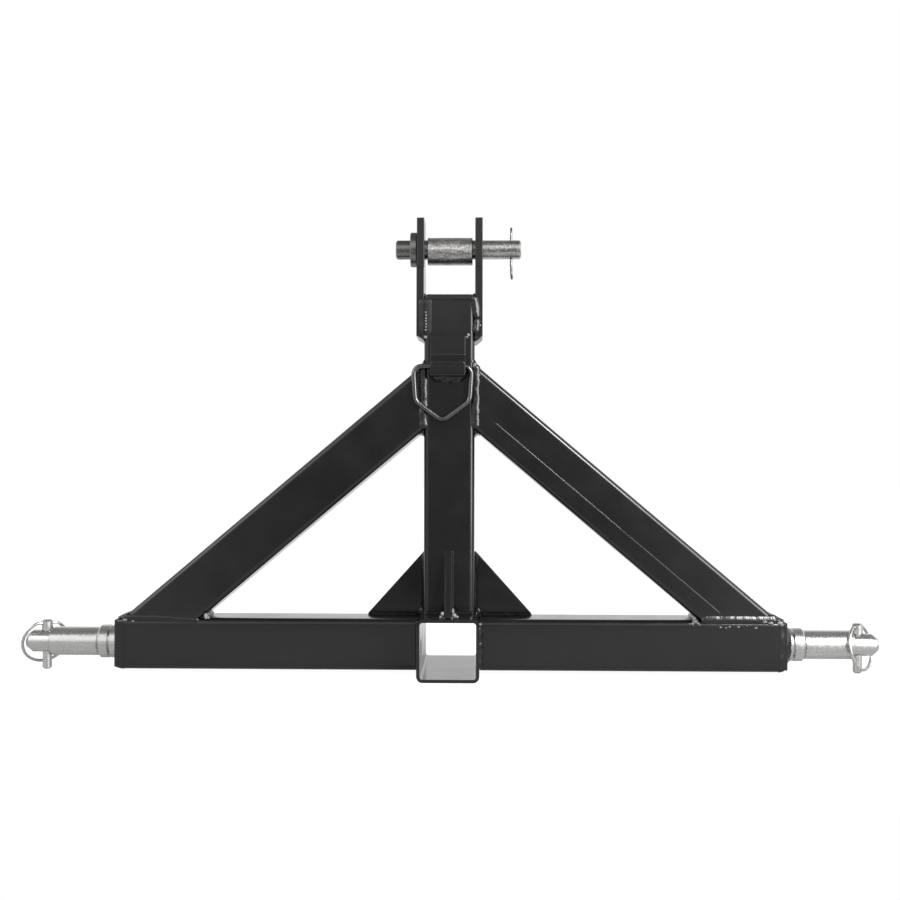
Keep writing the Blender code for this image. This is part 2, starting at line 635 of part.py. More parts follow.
def build_linch_pins(parts, cutters):
    """The linch pins in the lower pins' cross holes, and their snap rings round the pins."""
    stem = LINCH_STEM_DIAMETER / 2
    head = LINCH_HEAD_DIAMETER / 2
    head_top = LINCH_HEAD_RISE + LINCH_HEAD_HEIGHT
    profile = [
        (0.0, head_top), (head - LINCH_HEAD_CHAMFER, head_top), (head, head_top - LINCH_HEAD_CHAMFER),
        (head, LINCH_HEAD_RISE), (stem, LINCH_HEAD_RISE),
        (stem, LINCH_STEM_CHAMFER - LINCH_STEM_DROP),
        (stem - LINCH_STEM_CHAMFER, -LINCH_STEM_DROP), (0.0, -LINCH_STEM_DROP)]
    for side, sign in SIDES.items():
        turn = LINCH_RING_TURN[side]
        tilt = LINCH_RING_TILT[side]
        hinge_axis = Vector((math.cos(turn), math.sin(turn), 0.0)) * -sign
        outboard = Vector((-hinge_axis.y, hinge_axis.x, 0.0))
        upward = Vector((0, 0, 1)) * math.cos(tilt) - outboard * math.sin(tilt)
        place = Matrix.Translation(Vector((sign * LINCH_X, FRAME_Y, LOWER_PIN_Z)) * MM)
        pin = turned("linch_pin_" + side, profile, place, parts)
        hinge = Vector((sign * LINCH_X, FRAME_Y, LOWER_PIN_Z + LINCH_HINGE_RISE))
        cut(pin, drill("ring_drill_" + side, hinge, hinge_axis, LINCH_HINGE_BORE,
                       2 * LINCH_HEAD_DIAMETER, cutters))
        dress(pin, ZINC_PLATE)
        ring = wire("linch_ring_" + side, snap_ring_path(), LINCH_RING_WIRE,
                    frame_matrix(hinge, hinge_axis, upward), parts)
        dress(ring, ZINC_PLATE)


def snap_ring_path():
    """Centre line of a snap ring in its own plane: two straight ends and the round between."""
    start = math.asin(LINCH_RING_DROP / LINCH_RING_RADIUS)
    sweep = math.pi + 2 * start
    steps = math.ceil(sweep / (ARC_STEP / 2))
    path = [(LINCH_RING_STUB, 0.0, 0.0)]
    for step in range(steps + 1):
        turn = start - sweep * step / steps
        path.append((LINCH_RING_RADIUS * math.cos(turn),
                     LINCH_RING_RADIUS * math.sin(turn) - LINCH_RING_DROP, 0.0))
    path.append((-LINCH_RING_STUB, 0.0, 0.0))
    return path


def main():
    """Build the whole hitch."""
    clear_scene()
    parts = new_collection("three_point_quick_hitch")
    cutters = new_collection("cutters")
    build_receiver(parts, cutters)
    build_crossbar(parts)
    build_mast(parts)
    build_braces(parts, cutters)
    build_ears(parts)
    build_gussets(parts)
    build_chain_ring(parts)
    build_top_pin(parts, cutters)
    build_lower_pins(parts, cutters)
    build_linch_pins(parts, cutters)


main()
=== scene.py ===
"""Looks of the three point quick hitch: its coat, plating, weld beads, studio and camera.

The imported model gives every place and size. This script dresses it: each tube and plate gets broken
edges and a powder coat, the pins and bushings their plating, and the seams their weld beads.
"""

import json
import logging
import math
from dataclasses import dataclass, field
from enum import Enum

import bmesh
import bpy
from mathutils import Matrix, Vector, noise

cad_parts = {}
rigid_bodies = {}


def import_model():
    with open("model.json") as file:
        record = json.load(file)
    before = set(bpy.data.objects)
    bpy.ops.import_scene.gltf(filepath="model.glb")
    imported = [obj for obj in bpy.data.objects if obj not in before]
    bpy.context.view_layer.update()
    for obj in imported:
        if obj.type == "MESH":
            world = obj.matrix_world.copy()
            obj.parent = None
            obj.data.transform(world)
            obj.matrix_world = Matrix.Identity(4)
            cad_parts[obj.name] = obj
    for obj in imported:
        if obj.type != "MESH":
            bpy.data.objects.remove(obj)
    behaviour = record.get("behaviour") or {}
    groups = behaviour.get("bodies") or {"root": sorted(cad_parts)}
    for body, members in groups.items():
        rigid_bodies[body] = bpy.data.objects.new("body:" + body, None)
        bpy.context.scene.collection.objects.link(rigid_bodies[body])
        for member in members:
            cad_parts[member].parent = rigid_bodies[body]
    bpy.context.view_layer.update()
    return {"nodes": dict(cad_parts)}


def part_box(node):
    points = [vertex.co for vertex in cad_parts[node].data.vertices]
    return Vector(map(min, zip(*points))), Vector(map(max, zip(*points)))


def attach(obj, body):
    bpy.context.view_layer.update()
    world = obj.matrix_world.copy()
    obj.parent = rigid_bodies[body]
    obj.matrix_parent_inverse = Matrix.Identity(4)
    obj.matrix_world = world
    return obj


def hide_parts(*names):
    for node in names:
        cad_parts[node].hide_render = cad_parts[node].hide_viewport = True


for leftover in list(bpy.data.objects):
    bpy.data.objects.remove(leftover, do_unlink=True)
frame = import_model()

MM = 0.001
LOG = logging.getLogger("quick_hitch")
WELD_DISTANCE = 1e-6
FLAT_ANGLE = math.radians(0.4)
SHARP_ANGLE = math.radians(38.0)
BEAD_SHARP_ANGLE = math.radians(70.0)
ALL_SMOOTH = math.radians(180.0)
QUAD_ANGLE = math.radians(60.0)
UP = Vector((0.0, 0.0, 1.0))
DOWN = Vector((0.0, 0.0, -1.0))
WHITE = (1.0, 1.0, 1.0)
BLACK = (0.0, 0.0, 0.0)
Point = tuple[float, float, float]
# The results at the start and the end of a range of values, and where it starts and ends
Range = tuple[float, float, float, float]
# The place of a drop of weld metal from its datum, and its half widths, in millimetres
Drop = tuple[Point, Point]


class Side(Enum):
    """A side of the hitch, seen from the camera; its value is the sign of X."""

    LEFT = -1
    RIGHT = 1

    @property
    def word(self) -> str:
        """The side's name in lower case."""
        return self.name.lower()

    @property
    def out(self) -> Vector:
        """The direction away from the middle on this side."""
        return Vector((self.value, 0.0, 0.0))


class Face(Enum):
    """The front or the rear of the frame; its value is the sign of Y."""

    FRONT = -1
    REAR = 1

    @property
    def word(self) -> str:
        """The face's name in lower case."""
        return self.name.lower()

    @property
    def out(self) -> Vector:
        """The direction away from the frame on this face."""
        return Vector((0.0, self.value, 0.0))

    def of(self, low: Vector, high: Vector, sunk: float = 0.0) -> float:
        """The Y of this face of a box, or of a place sunk into it."""
        return (low.y if self is Face.FRONT else high.y) - sunk * self.value


class NodeGraph:
    """A node tree, with short calls to add and join its nodes."""

    def __init__(self, tree: bpy.types.NodeTree) -> None:
        """Work on one node tree."""
        self.tree = tree

    def add(self, kind: str, **values: object) -> bpy.types.Node:
        """Add a node.

        Args:
            kind: The node's type, without the ShaderNode in front.
            values: Attributes of the node to set.

        Returns:
            The new node.
        """
        node = self.tree.nodes.new("ShaderNode" + kind)
        for key, value in values.items():
            setattr(node, key, value)
        return node

    def join(self, source: bpy.types.NodeSocket, target: bpy.types.NodeSocket) -> None:
        """Link an output socket to an input socket."""
        self.tree.links.new(source, target)

    def math(self, operation: str, first: bpy.types.NodeSocket,
             second: bpy.types.NodeSocket | float = 0.0) -> bpy.types.NodeSocket:
        """Work out one sum of two values.

        Args:
            operation: The sum, in the Math node's words.
            first: The first value's socket.
            second: The second value, or its socket.

        Returns:
            The result's socket.
        """
        node = self.add("Math", operation=operation)
        self.join(first, node.inputs[0])
        if isinstance(second, float):
            node.inputs[1].default_value = second
        else:
            self.join(second, node.inputs[1])
        return node.outputs[0]

    def span(self, source: bpy.types.NodeSocket, low: float, high: float, start: float = 0.3,
             end: float = 0.7, soft: bool = False) -> bpy.types.NodeSocket:
        """Map a value between start and end to the range from low to high.

        Args:
            source: The value's socket.
            low: The result at the start.
            high: The result at the end.
            start: Where the range starts.
            end: Where the range ends.
            soft: Whether the change eases in and out.

        Returns:
            The result's socket.
        """
        remap = self.add("MapRange")
        if soft:
            remap.interpolation_type = "SMOOTHSTEP"
        remap.inputs["From Min"].default_value = start
        remap.inputs["From Max"].default_value = end
        remap.inputs["To Min"].default_value = low
        remap.inputs["To Max"].default_value = high
        self.join(source, remap.inputs["Value"])
        return remap.outputs["Result"]

    def split(self, place: str) -> bpy.types.Node:
        """Split a place into X, Y and Z.

        Args:
            place: The Texture Coordinate node's output to split.

        Returns:
            The node with the three parts as its outputs.
        """
        coordinates = self.add("TexCoord")
        parts = self.add("SeparateXYZ")
        self.join(coordinates.outputs[place], parts.inputs["Vector"])
        return parts


class FinishGraph(NodeGraph):
    """A new material's nodes round one Principled shader."""

    def __init__(self, name: str) -> None:
        """Start a material that holds a Principled shader only.

        Args:
            name: The material's name.
        """
        self.material = bpy.data.materials.new(name)
        self.material.use_nodes = True
        super().__init__(self.material.node_tree)
        self.shader = self.tree.nodes["Principled BSDF"]

    def grain(self, scale: Point, detail: float = 2.0, rough: float = 0.5) -> bpy.types.NodeSocket:
        """Add a noise in the object's own coordinates.

        Args:
            scale: Features per metre along X, Y and Z.
            detail: Octaves of the noise.
            rough: How strong the finer octaves are.

        Returns:
            The noise's factor, from 0 to 1.
        """
        place = self.add("TexCoord")
        stretch = self.add("Mapping")
        stretch.inputs["Scale"].default_value = scale
        texture = self.add("TexNoise")
        texture.inputs["Scale"].default_value = 1.0
        texture.inputs["Detail"].default_value = detail
        texture.inputs["Roughness"].default_value = rough
        self.join(place.outputs["Object"], stretch.inputs["Vector"])
        self.join(stretch.outputs["Vector"], texture.inputs["Vector"])
        return texture.outputs["Fac"]

    def blend(self, factor: bpy.types.NodeSocket, low: Point, high: Point) -> bpy.types.NodeSocket:
        """Mix two colours.

        Args:
            factor: The socket of the share of the high colour.
            low: The colour at 0.
            high: The colour at 1.

        Returns:
            The mixed colour's socket.
        """
        mix = self.add("Mix", data_type="RGBA")
        mix.inputs["A"].default_value = (*low, 1.0)
        mix.inputs["B"].default_value = (*high, 1.0)
        self.join(factor, mix.inputs["Factor"])
        return mix.outputs["Result"]

    def relief(self, layers: list[tuple[bpy.types.NodeSocket, float]]) -> None:
        """Stack height maps into the shader's normal.

        Args:
            layers: The socket of each height map, and its depth in metres.
        """
        normal = None
        for height, depth in layers:
            bump = self.add("Bump")
            bump.inputs["Strength"].default_value = 1.0
            bump.inputs["Distance"].default_value = depth
            self.join(height, bump.inputs["Height"])
            if normal is not None:
                self.join(normal, bump.inputs["Normal"])
            normal = bump.outputs["Normal"]
        self.join(normal, self.shader.inputs["Normal"])


@dataclass(frozen=True)
class PowderCoat:
    """Glossy black powder coat with a faint orange peel."""

    name: str = "black_powder_coat"
    deep: Point = (0.0035, 0.0035, 0.0038)
    pale: Point = (0.0065, 0.0065, 0.0068)
    gloss: float = 0.12
    dull: float = 0.20
    peel_per_metre: float = 380.0
    peel_depth: float = 0.000012
    wave_per_metre: float = 60.0
    wave_depth: float = 0.00004
    ior: float = 1.5
    cloud_per_metre: float = 30.0

    def material(self) -> bpy.types.Material:
        """Build the coat.

        Returns:
            The coat's material.
        """
        graph = FinishGraph(self.name)
        cloud = graph.grain((self.cloud_per_metre,) * 3, detail=4.0)
        peel = graph.grain((self.peel_per_metre,) * 3, detail=1.0)
        wave = graph.grain((self.wave_per_metre,) * 3, detail=1.0)
        graph.join(graph.blend(cloud, self.deep, self.pale), graph.shader.inputs["Base Color"])
        graph.join(graph.span(cloud, self.gloss, self.dull), graph.shader.inputs["Roughness"])
        graph.relief([(wave, self.wave_depth), (peel, self.peel_depth)])
        graph.shader.inputs["IOR"].default_value = self.ior
        return graph.material


@dataclass(frozen=True)
class Plating:
    """Plate over turned or drawn steel, with streaks along the bar and dull mottling.

    Up to an X that may be set, in metres, the plate is painted with shade: its colour falls to the dull
    one and its reflection is dimmed.
    """

    name: str
    bright: Point
    dull: Point
    smooth: float
    rough: float
    streak: Point
    streak_depth: float
    mottle_per_metre: float = 420.0
    dark_until: float | None = None
    dark_step: float = 0.002
    dark_tint: float = 0.55
    mottle_share: float = 0.45
    streak_share: float = 0.55
    contrast: Range = (0.0, 1.0, 0.34, 0.66)

    def material(self) -> bpy.types.Material:
        """Build the plating.

        Returns:
            The plating's material.
        """
        graph = FinishGraph(self.name)
        mottle = graph.grain((self.mottle_per_metre,) * 3, detail=5.0, rough=0.6)
        streak = graph.grain(self.streak, detail=3.0)
        shade = graph.math("ADD", graph.math("MULTIPLY", mottle, self.mottle_share),
                           graph.math("MULTIPLY", streak, self.streak_share))
        shade = graph.span(shade, *self.contrast)
        # Painted shade and a painted dark reflection: left of the set X the colour drops to the dull one
        # and Specular Tint dims the mirror.
        if self.dark_until is not None:
            x = graph.split("Object").outputs["X"]
            step = graph.span(x, 0.0, 1.0, self.dark_until, self.dark_until + self.dark_step)
            shade = graph.math("MULTIPLY", shade, step)
            tint = graph.span(step, self.dark_tint, 1.0, 0.0, 1.0)
            graph.join(graph.blend(tint, BLACK, WHITE), graph.shader.inputs["Specular Tint"])
        graph.join(graph.blend(shade, self.dull, self.bright), graph.shader.inputs["Base Color"])
        graph.join(graph.span(mottle, self.smooth, self.rough), graph.shader.inputs["Roughness"])
        graph.relief([(mottle, self.streak_depth * 2.0), (streak, self.streak_depth)])
        graph.shader.inputs["Metallic"].default_value = 1.0
        return graph.material


@dataclass
class Finishes:
    """The hitch's materials, made once."""

    coat: bpy.types.Material = field(init=False)
    ring_coat: bpy.types.Material = field(init=False)
    scuffed_coat: bpy.types.Material = field(init=False)
    zinc: bpy.types.Material = field(init=False)
    zinc_upright: bpy.types.Material = field(init=False)
    zinc_wire: bpy.types.Material = field(init=False)
    zinc_top: bpy.types.Material = field(init=False)
    steel: bpy.types.Material = field(init=False)
    spring: bpy.types.Material = field(init=False)

    def __post_init__(self) -> None:
        """Build each material."""
        self.coat = PowderCoat().material()
        self.ring_coat = PowderCoat("black_ring_coat", ior=2.0).material()
        # The spatter's coat is far paler than the powder coat: painted glints on the drops of weld metal.
        self.scuffed_coat = PowderCoat(
            "scuffed_coat", deep=(0.03, 0.03, 0.03), pale=(0.26, 0.26, 0.26), gloss=0.14, dull=0.26,
            peel_per_metre=900.0, peel_depth=0.00004).material()
        bright, dull = (0.66, 0.66, 0.65), (0.50, 0.50, 0.49)
        along_x, along_z = (30.0, 420.0, 420.0), (420.0, 420.0, 30.0)
        self.zinc = Plating(
            "zinc_plate", bright, dull, smooth=0.20, rough=0.32, streak=along_x,
            streak_depth=0.000006).material()
        self.zinc_upright = Plating(
            "zinc_plate_upright", bright, dull, smooth=0.20, rough=0.34, streak=along_z,
            streak_depth=0.000006).material()
        self.zinc_wire = Plating(
            "zinc_wire", (0.60, 0.60, 0.59), (0.44, 0.44, 0.43), smooth=0.22, rough=0.36,
            streak=(200.0, 200.0, 200.0), streak_depth=0.000004).material()
        # The top pin's plating has a very dark dull colour, and left of X = 25 mm it takes only that
        # colour with a dimmed reflection: painted shade for the collar and the stretches by the ears,
        # which lie in the clevis's shadow.
        self.zinc_top = Plating(
            "zinc_top_pin", (0.62, 0.62, 0.61), (0.20, 0.20, 0.195), smooth=0.20, rough=0.34,
            streak=along_x, streak_depth=0.000006, dark_until=0.025).material()
        self.steel = Plating(
            "drawn_steel", (0.60, 0.59, 0.58), (0.16, 0.157, 0.152), smooth=0.26, rough=0.46,
            streak=(130.0, 420.0, 420.0), streak_depth=0.000016, mottle_per_metre=600.0).material()
        self.spring = Plating(
            "spring_wire", (0.30, 0.30, 0.30), (0.16, 0.16, 0.16), smooth=0.25, rough=0.40,
            streak=(300.0, 300.0, 300.0), streak_depth=0.000004).material()


def millimetres(node: str) -> tuple[Vector, Vector]:
    """The lowest and the highest corner of a CAD node, in millimetres."""
    low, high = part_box(node)
    return low / MM, high / MM


def finish_mesh(shape: bmesh.types.BMesh, name: str, material: bpy.types.Material,
                body: str, sharp: float = SHARP_ANGLE) -> bpy.types.Object:
    """Turn a bmesh into a smooth, dressed piece that rides on a body.

    Args:
        shape: The mesh to take over; it is freed here.
        name: The piece's name.
        material: What it is dressed in.
        body: The CAD body that it rides on.
        sharp: Edges bent more than this stay sharp.

    Returns:
        The new object.
    """
    bmesh.ops.recalc_face_normals(shape, faces=shape.faces)
    mesh = bpy.data.meshes.new(name)
    shape.to_mesh(mesh)
    shape.free()
    for layer in ("custom_normal", "sharp_face"):
        if layer in mesh.attributes:
            mesh.attributes.remove(mesh.attributes[layer])
    mesh.shade_smooth()
    mesh.set_sharp_from_angle(angle=sharp)
    mesh.materials.clear()
    mesh.materials.append(material)
    piece = bpy.data.objects.new(name, mesh)
    bpy.context.scene.collection.objects.link(piece)
    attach(piece, body)
    LOG.info("built %s on %s", name, body)
    return piece


def node_shape(node: str) -> bmesh.types.BMesh:
    """Copy a CAD node's mesh, with its doubled corners joined, to be worked on.

    Args:
        node: The CAD node.

    Returns:
        The copy, in the node's own coordinates.
    """
    shape = bmesh.new()
    shape.from_mesh(frame["nodes"][node].data)
    bmesh.ops.remove_doubles(shape, verts=shape.verts, dist=WELD_DISTANCE)
    return shape


def refine(node: str, material: bpy.types.Material, body: str,
           edge: float = 0.0) -> bpy.types.Object:
    """Stand a finely shaded copy with broken edges in for a CAD node.

    Args:
        node: The CAD node.
        material: What the copy is dressed in.
        body: The body that it rides on.
        edge: Width of the broken edges, in millimetres.

    Returns:
        The copy.
    """
    shape = node_shape(node)
    bmesh.ops.dissolve_limit(shape, angle_limit=FLAT_ANGLE, verts=shape.verts, edges=shape.edges)
    if edge > 0.0:
        sharp = [line for line in shape.edges if line.calc_face_angle(0.0) > SHARP_ANGLE]
        bmesh.ops.bevel(shape, geom=sharp, offset=edge * MM, offset_type="OFFSET", segments=3,
                        profile=0.5, affect="EDGES", clamp_overlap=True)
    piece = finish_mesh(shape, node + "_finished", material, body)
    level = piece.modifiers.new("level", "WEIGHTED_NORMAL")
    level.keep_sharp = True
    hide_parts(node)
    return piece


@dataclass
class RoundWire:
    """A CAD wire of eight sides, rounded off to a smooth one of the same diameter.

    Rounding off draws the wire in to the share called shrink, so it is swelled by as much first.
    """

    node: str
    body: str
    slot: str
    diameter: float
    levels: int = 2
    shrink: float = 0.902

    def build(self, material: bpy.types.Material) -> bpy.types.Object:
        """Build the wire and let it stand for its node.

        Args:
            material: What the wire is dressed in.

        Returns:
            The smooth wire.
        """
        shape = node_shape(self.node)
        bmesh.ops.dissolve_limit(shape, angle_limit=FLAT_ANGLE, verts=shape.verts, edges=shape.edges)
        bmesh.ops.join_triangles(shape, faces=shape.faces, angle_face_threshold=QUAD_ANGLE,
                                 angle_shape_threshold=QUAD_ANGLE)
        bmesh.ops.recalc_face_normals(shape, faces=shape.faces)
        shape.normal_update()
        swell = self.diameter / 2 * (1.0 / self.shrink - 1.0) * MM
        moved = [(vert, vert.co + vert.normal * swell) for vert in shape.verts]
        for vert, place in moved:
            vert.co = place
        crease = shape.edges.layers.float.new("crease_edge")
        for cap in (face for face in shape.faces if len(face.verts) > 4):
            for line in cap.edges:
                line[crease] = 1.0
        piece = finish_mesh(shape, self.node + "_finished", material, self.body,
                            ALL_SMOOTH)
        smooth = piece.modifiers.new("round", "SUBSURF")
        smooth.levels = self.levels
        smooth.render_levels = self.levels
        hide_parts(self.node)
        return piece


@dataclass
class WeldBead:
    """A bead of weld metal along a seam, with the lumps and ripples that its puddle leaves.

    The bead's section swings from the direction along to the direction across about the seam's
    root; the lengths of the two set how far it reaches each way. A fillet lies in the corner
    between two faces, and a bead with a crown lies over a flat seam, with flatter slopes the more
    its facet is over 1. A bead with a hub runs round it, and then across points outward from the hub.
    """

    name: str
    path: list[Vector]
    along: Vector
    across: Vector
    leg: float = 4.0
    crown: Vector | None = None
    crown_height: float = 1.6
    facet: float = 1.0
    hub: Vector | None = None
    pitch: float = 2.2
    ripple: float = 0.03
    ripple_lag: float = 0.45
    ripple_crest: float = 0.35
    lump: float = 0.16
    lump_pitch: float = 6.0
    lump_spread: float = 1.3
    lump_stride: float = 7.0
    fine_share: float = 0.4
    fine_scale: float = 3.1
    bulge: float = 0.35
    drift: float = 0.0
    drift_pitch: float = 9.0
    drift_stride: float = 5.0
    root_depth: float = 0.8
    blunt: float = 0.08
    seed: float = 0.0
    step: float = 0.7
    fan: int = 9

    def section(self, turn: float, across: Vector) -> Vector:
        """Work out where the bead's surface lies.

        Args:
            turn: The place on the section, from 0 on the side along to 1 on the side across.
            across: The direction across at this place of the path.

        Returns:
            The offset from the root, in leg lengths.
        """
        if self.crown is not None:
            angle = math.pi * turn
            height = self.crown_height / self.leg
            flat = math.copysign(abs(math.cos(angle)) ** self.facet, math.cos(angle))
            return (self.along * max(0.0, flat) + across * max(0.0, -flat)
                    + self.crown * (math.sin(angle) ** self.facet * height))
        angle = math.pi / 2 * turn
        chord = 1.0 / (math.cos(angle) + math.sin(angle))
        reach = chord + (1.0 - chord) * self.bulge
        return (self.along * math.cos(angle) + across * math.sin(angle)) * reach

    def resample(self) -> list[tuple[Vector, float]]:
        """Cut the path into short steps.

        Returns:
            Points about a step apart, each with its distance along the path in millimetres.
        """
        points = []
        travelled = 0.0
        for start, end in zip(self.path, self.path[1:]):
            length = (end - start).length
            count = max(1, round(length / self.step))
            for index in range(count):
                points.append((start.lerp(end, index / count), travelled + length * index / count))
            travelled += length
        if self.hub is None:
            points.append((self.path[-1], travelled))
        return points

    def facing(self, points: list[tuple[Vector, float]], index: int) -> Vector:
        """Find the direction across at one of the points.

        Args:
            points: The path's points, each with its distance.
            index: Which of them is meant.

        Returns:
            The direction, as long as the bead reaches that way.
        """
        if self.hub is None:
            return self.across
        count = len(points)
        tangent = (points[(index + 1) % count][0] - points[index - 1][0]).normalized()
        outward = tangent.cross(self.along).normalized()
        if outward.dot(points[index][0] - self.hub) < 0.0:
            outward.negate()
        return outward * self.across.length

    def size_at(self, travelled: float, turn: float) -> float:
        """Work out the ripples and lumps at a place on the bead.

        Args:
            travelled: The distance along the path, in millimetres.
            turn: The place on the section, from 0 to 1.

        Returns:
            How far the surface swells there, as a factor.
        """
        lag = (2.0 * turn - 1.0) ** 2 * self.leg * self.ripple_lag
        phase = (travelled + lag) / self.pitch + self.seed
        wave = 0.5 - abs(phase % 1.0 - self.ripple_crest) / (1.0 - self.ripple_crest)
        spot = Vector((travelled / self.lump_pitch, turn * self.lump_spread,
                       self.seed * self.lump_stride))
        size = 1.0 + self.ripple * wave + self.lump * noise.noise(spot)
        return size + self.fine_share * self.lump * noise.noise(spot * self.fine_scale)

    def taper(self, travelled: float, total: float) -> float:
        """Work out how the bead thins at its ends; a bead round a hub has none.

        Args:
            travelled: The distance along the path, in millimetres.
            total: The path's length, in millimetres.

        Returns:
            How full the bead is there, as a factor.
        """
        if self.hub is not None:
            return 1.0
        end_gap = min(travelled, total - travelled) / self.leg
        return math.sqrt(1.0 - (1.0 - min(1.0, end_gap + self.blunt)) ** 2)

    def build(self, material: bpy.types.Material) -> bpy.types.Object:
        """Build the bead's mesh.

        Args:
            material: The coat over the bead.

        Returns:
            The bead, riding on the frame.
        """
        shape = bmesh.new()
        rings = []
        points = self.resample()
        total = points[-1][1]
        for index, (place, travelled) in enumerate(points):
            across = self.facing(points, index)
            inward = (self.crown or (self.along + across).normalized()) * -self.root_depth
            taper = self.taper(travelled, total)
            wander = Vector((travelled / self.drift_pitch, self.seed * self.drift_stride, 0.0))
            sway = self.drift * noise.noise(wander)
            root = place + self.along.normalized() * sway
            ring = [shape.verts.new((root + inward) * MM)]
            for fan_index in range(self.fan):
                turn = fan_index / (self.fan - 1)
                reach = self.leg * self.size_at(travelled, turn) * taper
                ring.append(shape.verts.new((root + self.section(turn, across) * reach) * MM))
            rings.append(ring)
        pairs = list(zip(rings, rings[1:]))
        if self.hub is not None:
            pairs.append((rings[-1], rings[0]))
        for ring, after in pairs:
            for index in range(len(ring)):
                follow = (index + 1) % len(ring)
                shape.faces.new((ring[index], ring[follow], after[follow], after[index]))
        if self.hub is None:
            shape.faces.new(rings[0])
            shape.faces.new(tuple(reversed(rings[-1])))
        return finish_mesh(shape, self.name, material, "frame", BEAD_SHARP_ANGLE)


@dataclass
class Spatter:
    """Small drops and nuggets of weld metal that lie on the frame, in one mesh."""

    name: str
    datum: Point
    drops: list[Drop]
    lump: float = 0.22
    lumps_per_metre: float = 600.0
    lump_stride: float = 3.7

    def build(self, material: bpy.types.Material) -> bpy.types.Object:
        """Build the drops.

        Args:
            material: The coat over them.

        Returns:
            The drops, riding on the frame.
        """
        shape = bmesh.new()
        for index, (place, radii) in enumerate(self.drops):
            middle = (Vector(self.datum) + Vector(place)) * MM
            spot = Matrix.Translation(middle) @ Matrix.Diagonal((*radii, 1.0))
            made = bmesh.ops.create_icosphere(shape, subdivisions=3, radius=MM, matrix=spot)
            shift = Vector((index * self.lump_stride, 0.0, 0.0))
            for vert in made["verts"]:
                way = vert.co - middle
                vert.co += way * (self.lump * noise.noise(way * self.lumps_per_metre + shift))
        return finish_mesh(shape, self.name, material, "frame", ALL_SMOOTH)


@dataclass(frozen=True)
class EarLap:
    """One lap of the bead between a clevis ear and the mast, in millimetres.

    Its start and end are given outward from the mast's middle and upward from the ear's foot. Inner
    is how far it reaches to the middle, in leg lengths.
    """

    start: tuple[float, float]
    end: tuple[float, float]
    leg: float
    inner: float
    height: float


def level_path(x: float, z: float, low: Vector, high: Vector, trim: float) -> list[Vector]:
    """A straight path from front to rear over a box, that stops a trim short of both its faces."""
    return [Vector((x, low.y + trim, z)), Vector((x, high.y - trim, z))]


def rounded_square(x: float, y: float, z: float, half: float, corner: float) -> list[Vector]:
    """Lay a closed path round a square across X, that starts at its rear underside.

    Args:
        x: The path's X.
        y: The square's middle along Y.
        z: The square's middle along Z.
        half: Half of the square's side.
        corner: The radius of its corners.

    Returns:
        The path, with its first point repeated at its end.
    """
    path = []
    quarter = 8
    for turn_index, (sign_y, sign_z) in enumerate(((1, -1), (-1, -1), (-1, 1), (1, 1))):
        centre_y = y + sign_y * (half - corner)
        centre_z = z + sign_z * (half - corner)
        start = -math.pi / 2 * turn_index
        for step in range(quarter + 1):
            angle = start - math.pi / 2 * step / quarter
            path.append(Vector((x, centre_y + corner * math.cos(angle),
                                centre_z + corner * math.sin(angle))))
    path.append(path[0].copy())
    return path


def circle_path(x: float, y: float, z: float, radius: float) -> list[Vector]:
    """Lay a closed circle across X, that starts at its rear.

    Args:
        x: The circle's X.
        y: Its middle along Y.
        z: Its middle along Z.
        radius: Its radius.

    Returns:
        The path, with its first point repeated at its end.
    """
    count = 64
    turns = [2 * math.pi * step / count for step in range(count + 1)]
    return [Vector((x, y + radius * math.cos(turn), z + radius * math.sin(turn))) for turn in turns]


